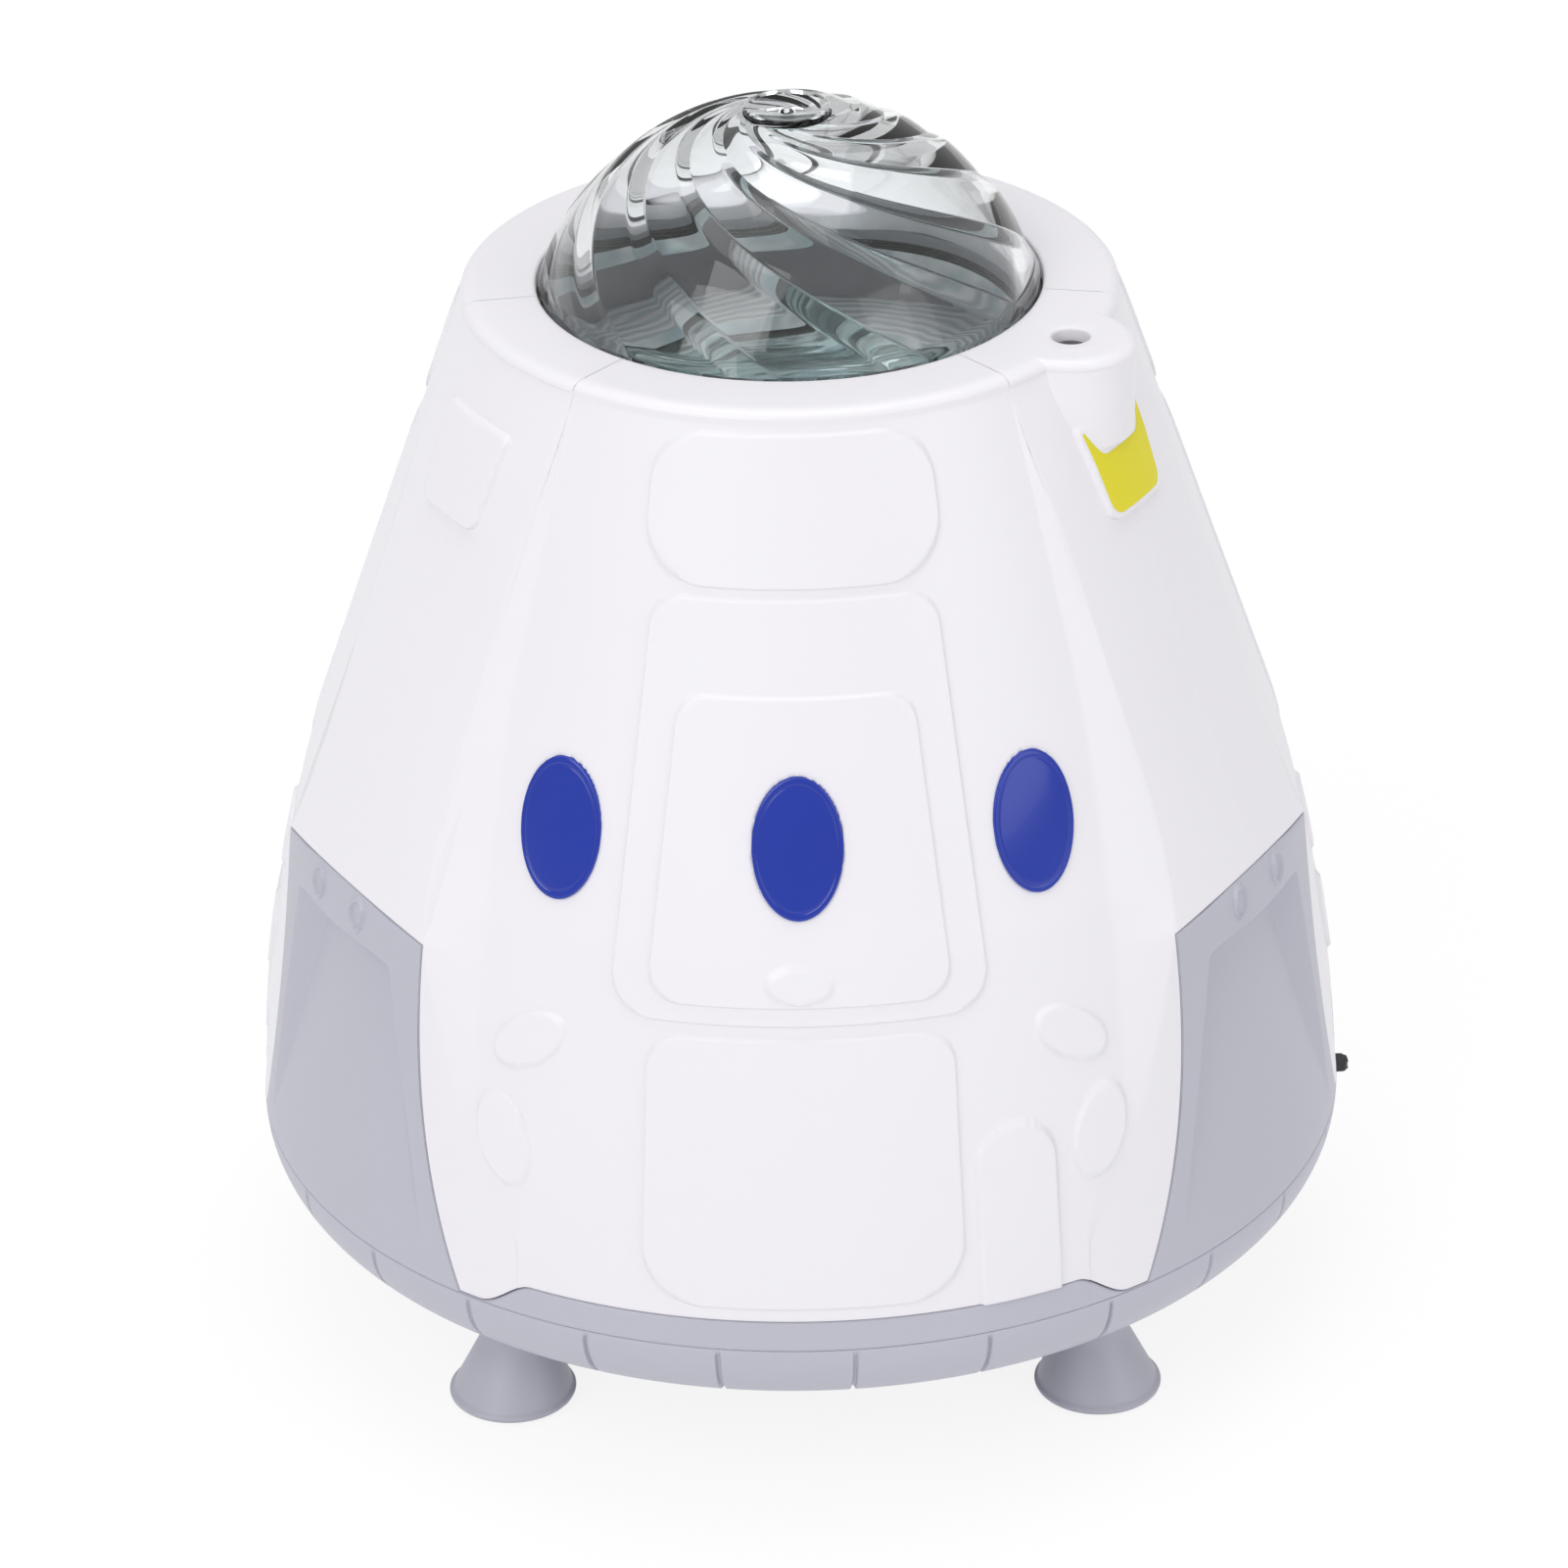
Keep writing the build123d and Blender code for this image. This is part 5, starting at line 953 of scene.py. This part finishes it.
class PROJECTOR_OT_feet(bpy.types.Operator):
    """Builds the four flared feet, each leaning towards the axis, with a recess for its rubber pad"""

    bl_idname = "projector.feet"
    bl_label = "Feet"

    def execute(self, context):
        arc = np.radians(np.linspace(-90.0, 20.0, 7))
        rim = [(8.95 + 0.75 * np.cos(a), 0.75 + 0.75 * np.sin(a)) for a in arc]
        wall = [(9.2 - 3.4 * s, 1.7 + 7.9 * s) for s in np.linspace(0.0, 1.0, 14)]
        neck = [(5.5, 10.8), (5.1, 12.4), (4.7, 14.2), (4.6, 16.0), (4.6, 19.9), (POLE, 19.9)]
        profile = [(POLE, 1.3), (7.3, 1.3), (7.3, 0.5)] + [(r, z + 0.5) for r, z in rim] + wall + neck
        lean = np.tan(np.radians(FOOT_LEAN))
        for name, azimuth in FEET:
            points = turned_ring(np.array(profile) - [0.0, SEAM], 96)
            shift = place(FOOT_CIRCLE, azimuth, -SEAM)
            inward = -shift / FOOT_CIRCLE * lean
            points = points + shift + points[..., 2:] * inward
            node = "foot_" + name
            pole_piece(node + "_skin", points, "grey_abs_moulded", slot="grey_shell", nodes=[node])
        return {"FINISHED"}


class PROJECTOR_OT_portholes(bpy.types.Operator):
    """Builds the three blue portholes of the front face: oval lenses with a bevelled rim, closed behind"""

    bl_idname = "projector.portholes"
    bl_label = "Portholes"

    def execute(self, context):
        middle, wide, tall = PORTHOLE_OVAL
        proud = size("porthole_proud")
        lens = [(0.004, -2.6), (1.0, -2.6), (1.0, 0.02), (0.997, 0.06), (0.99, 0.1), (0.975, 0.13)]
        lens += [(0.95, 0.15), (0.925, 0.15), (0.915, 0.13), (0.905, 0.06), (0.895, 0.04), (0.885, 0.07)]
        lens += [(0.87, 0.1)]
        lens += [(share, 0.1 + 0.22 * (1.0 - (share / 0.86) ** 2)) for share in np.linspace(0.84, 0.004, 18)]
        shares, heights = np.array(lens).T
        turn = np.radians(np.linspace(0.0, 360.0, 144, endpoint=False))
        for mark, azimuth, lean in PORTHOLES:
            along = shares[:, None] * wide * np.cos(turn)
            up = shares[:, None] * tall * np.sin(turn)
            angle = np.radians(lean)
            x = along * np.cos(angle) - up * np.sin(angle)
            rise = middle - PORTHOLE_DROP * (mark != "b")
            z = rise + along * np.sin(angle) + up * np.cos(angle)
            step = 2.0 * size("relief") if mark == "b" else 0.0
            radius = face_radius(z) + step + heights[:, None] + proud
            points = place(radius, azimuth + angle_of(x, radius), z)
            node = "porthole_front_" + mark
            pole_piece(node + "_lens", points, "blue_polycarbonate_polished", slot="blue_window", nodes=[node])
        return {"FINISHED"}


def dome_sphere():
    """Radius of the dome's sphere and the height of its centre, from its radius and rise at the ring."""
    sphere = (DOME_RADIUS**2 + DOME_RISE**2) / (2.0 * DOME_RISE)
    return sphere, RING_RISE + DOME_RISE - sphere


class PROJECTOR_OT_dome(bpy.types.Operator):
    """Builds the clear dome: ten flutes that follow rhumb lines of a sphere, a smooth bore and a flange"""

    bl_idname = "projector.dome"
    bl_label = "Dome"

    def execute(self, context):
        depth = size("vane_depth")
        sphere, centre = dome_sphere()
        steps = 40
        share = np.tile(np.linspace(0.0, 1.0, steps, endpoint=False), DOME_VANES)
        vane = np.repeat(np.arange(DOME_VANES), steps)
        rim_angle = np.arcsin(DOME_RADIUS / sphere)
        angles = np.linspace(rim_angle, 0.166, 84)[:, None]
        turn = DOME_TWIST * (np.log(np.tan(angles / 2.0)) - np.log(np.tan(rim_angle / 2.0)))
        azimuth = DOME_START + turn + (vane + share) * 360.0 / DOME_VANES
        flute = np.interp(share, *FLUTE[:2]) ** FLUTE[2]
        fade = ease(0.12, 0.45, angles) * depth
        radius = sphere - fade * flute
        outer = place(radius * np.sin(angles), azimuth, centre + radius * np.cos(angles))
        first, last = azimuth[0], azimuth[-1]
        bore = np.hypot(DOME_BORE, RING_RISE - centre)
        inner_angles = np.linspace(POLE / bore, np.arcsin(DOME_BORE / bore), 40)[:, None]
        inner = place(bore * np.sin(inner_angles), first, centre + bore * np.cos(inner_angles))
        neck = [(DOME_BORE, CEILING - 2.5), (41.2, CEILING - 2.5)]
        neck += [(41.2, CEILING - 0.02), (36.6, CEILING - 0.02)]
        neck = np.array([place(r, first, z) for r, z in neck])
        rise = RING_RISE + DOME_RISE
        boss = [(6.35, -0.9), (6.4, 0.3), (6.2, 0.47), (5.7, 0.45), (5.3, 0.35)]
        boss += [(r, -0.55 + 0.032 * r * r) for r in (4.8, 4.0, 3.0, 1.9, 1.3)]
        boss += [(1.1, -0.35), (0.9, -0.1), (0.6, 0.1), (POLE, 0.15)]
        boss = np.array([place(r, last, rise + z) for r, z in boss])
        points = np.concatenate([inner, neck, outer, boss])
        kind = {"slot": "clear_dome", "nodes": ["dome_lens"], "sharp": 28.0}
        pole_piece("dome_swirl", points, "polycarbonate_clear", **kind)
        return {"FINISHED"}


class PROJECTOR_OT_ripple_disc(bpy.types.Operator):
    """Builds the ripple disc: a clear round plate whose upper face carries drawn-out waves"""

    bl_idname = "projector.ripple_disc"
    bl_label = "Ripple disc"

    def execute(self, context):
        depth = size("ripple_depth")
        low, high = (corner_point[2] / MM - SEAM for corner_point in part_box("ripple_disc"))
        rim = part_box("ripple_disc")[1][0] / MM
        radii = np.concatenate([np.linspace(POLE, rim - 0.4, 120), [rim - 0.15, rim]])
        turn = np.linspace(0.0, 360.0, 480, endpoint=False)
        radius, azimuth = np.meshgrid(radii, turn, indexing="ij")
        x, y = aside(radius, azimuth), radius * np.cos(np.radians(azimuth))
        bend = 2.2 * np.sin(x / 7.3 + 0.6) + 1.3 * np.sin((x - 0.7 * y) / 4.1)
        waves = np.sin((y + bend) / 0.62) + 0.6 * np.sin((y - 0.35 * x + 1.4 * bend) / 0.93)
        waves = waves * (0.65 + 0.35 * np.sin(x / 5.0 + y / 9.0))
        inside = ease(rim, rim - 1.0, radius)
        top = np.minimum(high - depth + depth * 0.5 * (1.0 + waves / 1.6) * inside, high)
        upper = place(radius, azimuth, top)[::-1]
        lower = place(radius, azimuth, low)[::11]
        points = np.concatenate([lower, upper])
        kind = {"body": "rotor", "slot": "clear_optic", "nodes": ["ripple_disc"]}
        pole_piece("ripple_disc_waves", points, "acrylic_ripple", **kind)
        return {"FINISHED"}


class PROJECTOR_OT_label(bpy.types.Operator):
    """Builds the blank label on the pad under the laser boss, cut hollow along the boss's foot"""

    bl_idname = "projector.label"
    bl_label = "Blank label"

    def execute(self, context):
        across = crowded(-1.0, 1.0, 81, [(-1.0, 0.2, 1.5), (1.0, 0.2, 1.5)])[None, :]
        half_top, half_foot, low, high = SIDE_PAD[:4]
        half = half_foot - 0.7
        edge = np.maximum(abs(across) * half - half + 1.9, 0.0)
        foot = low + 0.8 + 1.9 - np.sqrt(np.maximum(1.9**2 - edge**2, 0.0))
        x = across * (half + (half_top - half_foot) * 0.75)
        front = LASER[0] + np.sqrt(np.maximum((BOSS_RADIUS + 0.5) ** 2 - x**2, 0.0))
        radii, heights = np.array(SIDE_LINE).T
        meet = np.interp(size("pad_relief") - front, -radii, heights)
        top = np.minimum(soft_most(meet - 0.3, BOSS_FOOT - 0.1, 1.6), high - 0.9)
        share = np.linspace(0.0, 1.0, 45)[:, None]
        height = foot + (top - foot) * share
        x = across * (half + (half_top - half_foot) * (height - low) / (high - low))
        surface = side_radius(height) + size("pad_relief")
        azimuth = LASER[1] + angle_of(x, surface)
        front_face = place(surface + 0.09, azimuth, height)
        back_face = place(surface + 0.01, azimuth, height)
        quads = grid_faces(*height.shape)
        count = height.size
        index = np.arange(count).reshape(height.shape)
        loop = np.concatenate([index[0, :-1], index[:-1, -1], index[-1, :0:-1], index[:0:-1, 0]])
        after = np.roll(loop, -1)
        wall = np.stack([after, loop, loop + count, after + count], -1)
        quads = np.concatenate([quads, quads[:, ::-1] + count, wall])
        points = np.concatenate([front_face.reshape(-1, 3), back_face.reshape(-1, 3)])
        make_piece("blank_label", points, quads, finishes()["label_vinyl_printed"], slot="white_shell")
        return {"FINISHED"}


class PROJECTOR_OT_switch_grip(bpy.types.Operator):
    """Builds the slide switch's knob: a block with softened edges and grip ribs across its tip"""

    bl_idname = "projector.switch_grip"
    bl_label = "Switch knob"

    def execute(self, context):
        azimuth = np.radians(SWITCH[0])
        out = np.array([np.sin(azimuth), -np.cos(azimuth), 0.0])
        along = np.array([np.cos(azimuth), np.sin(azimuth), 0.0])
        up = np.array([0.0, 0.0, 1.0])
        root, reach, half_x, half_z = 74.4, 87.2, 1.65, 0.9
        turn = np.linspace(0.0, 2.0 * np.pi, 64, endpoint=False)
        power = 0.28  # a circle drawn with this power is nearly a rectangle
        flat_x, flat_z = (np.sign(part) * abs(part) ** power for part in (np.cos(turn), np.sin(turn)))
        path = [(root, 0.005), (root, 0.95), (root + 0.15, 1.0)]
        tip = ((1.1, 1.0), (0.8, 0.97), (0.6, 0.9), (0.5, 0.8), (0.46, 0.6), (0.45, 0.3), (0.45, 0.005))
        path += [(reach - back, share) for back, share in tip]
        radius, share = np.array(path).T
        x = share[:, None] * flat_x * half_x
        z = share[:, None] * flat_z * half_z
        ribs = 0.42 * np.cos(np.clip(x / 1.1, -1.0, 1.0) * np.pi * 1.5) ** 2 * (radius[:, None] > reach - 0.7)
        distance = radius[:, None] + ribs
        points = distance[..., None] * out + (x - 1.0)[..., None] * along  # at rest 1 mm off the middle
        points = points + (z + SWITCH[1] + SEAM)[..., None] * up
        kind = {"body": "knob", "slot": "dark_plastic", "nodes": ["switch_knob"]}
        pole_piece("switch_grip", points, "black_nylon_moulded", **kind)
        return {"FINISHED"}


class PROJECTOR_OT_laser_glass(bpy.types.Operator):
    """Builds the dark glass that closes the laser hole from below"""

    bl_idname = "projector.laser_glass"
    bl_label = "Laser glass"

    def execute(self, context):
        low = CEILING - 0.02
        profile = [(POLE, low), (2.75, low), (2.75, low + 0.5), (2.6, low + 0.62)]
        profile += [(r, low + 0.62 + 0.02 * (2.6 - r)) for r in (2.0, 1.0, POLE)]
        points = turned_ring(profile, 64, place(*LASER, 0.0))
        pole_piece("laser_glass", points, "laser_glass", slot="dark_plastic")
        return {"FINISHED"}


class PROJECTOR_OT_finish_nodes(bpy.types.Operator):
    """Gives every carried-over node its finish"""

    bl_idname = "projector.finish_nodes"
    bl_label = "Node finishes"

    def execute(self, context):
        slots = {
            "white_shell": "white_abs_moulded",
            "grey_shell": "grey_abs_moulded",
            "blue_window": "blue_polycarbonate_polished",
            "clear_dome": "polycarbonate_clear",
            "clear_optic": "acrylic_clear",
            "star_film": "star_film",
            "dark_plastic": "black_nylon_moulded",
            "grey_plastic": "grey_abs_inner",
            "gear_plastic": "acetal_moulded",
            "reflector": "reflector_metallised",
            "aluminium": "aluminium_extruded",
            "steel": "steel_plated",
            "brass": "brass_turned",
            "board": "board_solder_mask",
            "led_white": "phosphor_silicone",
            "rubber": "rubber_moulded",
        }
        stored = finishes()
        for part in frame["record"]["subparts"]:
            node = frame["nodes"][part["node"]]
            material = stored[slots[part["material_slot"]]]
            if node.material_slots:
                for entry in node.material_slots:
                    entry.material = material
            else:
                node.data.materials.append(material)
        return {"FINISHED"}


# ---- studio
def soft_light(name, at, side, power):
    """A square soft light at a point, facing the object, in metres and watts."""
    data = bpy.data.lights.new(name, "AREA")
    data.shape = "RECTANGLE"
    data.size = data.size_y = side
    data.energy = power
    light = bpy.data.objects.new(name, data)
    bpy.context.scene.collection.objects.link(light)
    light.location = at
    light.rotation_euler = (Vector(LAMP_AIM) - Vector(at)).to_track_quat("-Z", "Y").to_euler()


class PROJECTOR_OT_stage(bpy.types.Operator):
    """Builds the pale floor, the soft lights, the world and the camera"""

    bl_idname = "projector.stage"
    bl_label = "Studio"

    def execute(self, context):
        scene = context.scene
        scene.view_settings.view_transform = "Standard"
        line = np.linspace(-FLOOR_REACH, FLOOR_REACH, 3)
        x, y = np.meshgrid(line, line)
        points = np.stack([x, y, np.zeros_like(x)], -1)
        mesh = bpy.data.meshes.new("studio_floor")
        mesh.from_pydata((points.reshape(-1, 3) * MM).tolist(), [], grid_faces(3, 3).tolist())
        mesh.materials.append(self.floor_material(scene.projector_colours.floor))
        floor = bpy.data.objects.new("studio_floor", mesh)
        scene.collection.objects.link(floor)
        world = bpy.data.worlds.new("studio_world")
        world.use_nodes = True
        background = world.node_tree.nodes["Background"]
        background.inputs["Color"].default_value = (1.0, 1.0, 1.0, 1.0)
        background.inputs["Strength"].default_value = WORLD_STRENGTH
        scene.world = world
        for lamp in LAMPS:
            soft_light(*lamp)
        self.camera(scene)
        return {"FINISHED"}

    def floor_material(self, rgb):
        """Matt paper floor that shows near-white to the camera and in gloss or glass, with its shadow."""
        material, tree, shader = new_material("studio_paper")
        shader_values(shader, Base_Color=with_alpha(rgb), Roughness=0.9, Specular_IOR_Level=0.1)
        output = next(n for n in tree.nodes if n.type == "OUTPUT_MATERIAL")
        rays = add_node(tree, "ShaderNodeLightPath").outputs
        share, strength = FLOOR_GLOW

        def math(operation, links, values=None):
            settings = {"operation": operation}
            return add_node(tree, "ShaderNodeMath", settings=settings, values=values, links=links).outputs[0]

        seen = math("MAXIMUM", {0: rays["Is Camera Ray"], 1: rays["Is Glossy Ray"]})
        seen = math("MAXIMUM", {0: seen, 1: rays["Is Transmission Ray"]})
        part = math("MULTIPLY", {0: seen}, {1: share})
        values = {"Color": (1.0, 1.0, 1.0, 1.0), "Strength": strength}
        glow = add_node(tree, "ShaderNodeEmission", values=values)
        links = {0: part, 1: shader.outputs[0], 2: glow.outputs[0]}
        mix = add_node(tree, "ShaderNodeMixShader", links=links)
        tree.links.new(mix.outputs[0], output.inputs["Surface"])
        return material

    def camera(self, scene):
        """Camera on the front, 28 degrees up, turned a little about its own axis."""
        elevation, yaw, roll = np.radians(CAMERA_TURN[0]), *CAMERA_TURN[1:]
        level = np.cos(elevation)
        forward = np.array([np.sin(yaw) * level, np.cos(yaw) * level, -np.sin(elevation)])
        right = np.array([np.cos(yaw), -np.sin(yaw), 0.0])
        up = np.cross(right, forward)
        across = np.cos(roll) * right + np.sin(roll) * up
        upright = -np.sin(roll) * right + np.cos(roll) * up
        data = bpy.data.cameras.new("studio_camera")
        data.sensor_width = SENSOR
        data.lens = FOCAL_PIXELS / IMAGE_PIXELS * SENSOR
        data.clip_start = 0.05
        data.clip_end = 30.0
        camera = bpy.data.objects.new("studio_camera", data)
        turned = Matrix(np.column_stack([across, upright, -forward]).tolist()).to_4x4()
        x, y, z = CAMERA_PLACE
        camera.matrix_world = Matrix.Translation((x, y, z + SEAM * MM)) @ turned
        scene.collection.objects.link(camera)
        scene.camera = camera


PIECES = (
    PROJECTOR_OT_white_shell,
    PROJECTOR_OT_grey_shell,
    PROJECTOR_OT_tray,
    PROJECTOR_OT_feet,
    PROJECTOR_OT_portholes,
    PROJECTOR_OT_dome,
    PROJECTOR_OT_ripple_disc,
    PROJECTOR_OT_label,
    PROJECTOR_OT_switch_grip,
    PROJECTOR_OT_laser_glass,
    PROJECTOR_OT_finish_nodes,
    PROJECTOR_OT_stage,
)


class PROJECTOR_PT_panel(bpy.types.Panel):
    """Lists the sizes, the colours and the pieces"""

    bl_label = "Planetarium projector"
    bl_idname = "PROJECTOR_PT_panel"
    bl_space_type = "VIEW_3D"
    bl_region_type = "UI"
    bl_category = "Projector"

    def draw(self, context):
        layout = self.layout
        for group in (context.scene.projector_sizes, context.scene.projector_colours):
            column = layout.column()
            for key in group.__annotations__:
                column.prop(group, key)
        for operator in PIECES:
            layout.operator(operator.bl_idname)


CLASSES = (ProjectorSizes, ProjectorColours, *PIECES, PROJECTOR_PT_panel)


def register():
    for item in CLASSES:
        bpy.utils.register_class(item)
    bpy.types.Scene.projector_sizes = PointerProperty(type=ProjectorSizes)
    bpy.types.Scene.projector_colours = PointerProperty(type=ProjectorColours)


def unregister():
    del bpy.types.Scene.projector_colours
    del bpy.types.Scene.projector_sizes
    for item in reversed(CLASSES):
        bpy.utils.unregister_class(item)


def main():
    register()
    for operator in PIECES:
        group, name = operator.bl_idname.split(".")
        getattr(getattr(bpy.ops, group), name)()


if __name__ == "__main__":
    main()
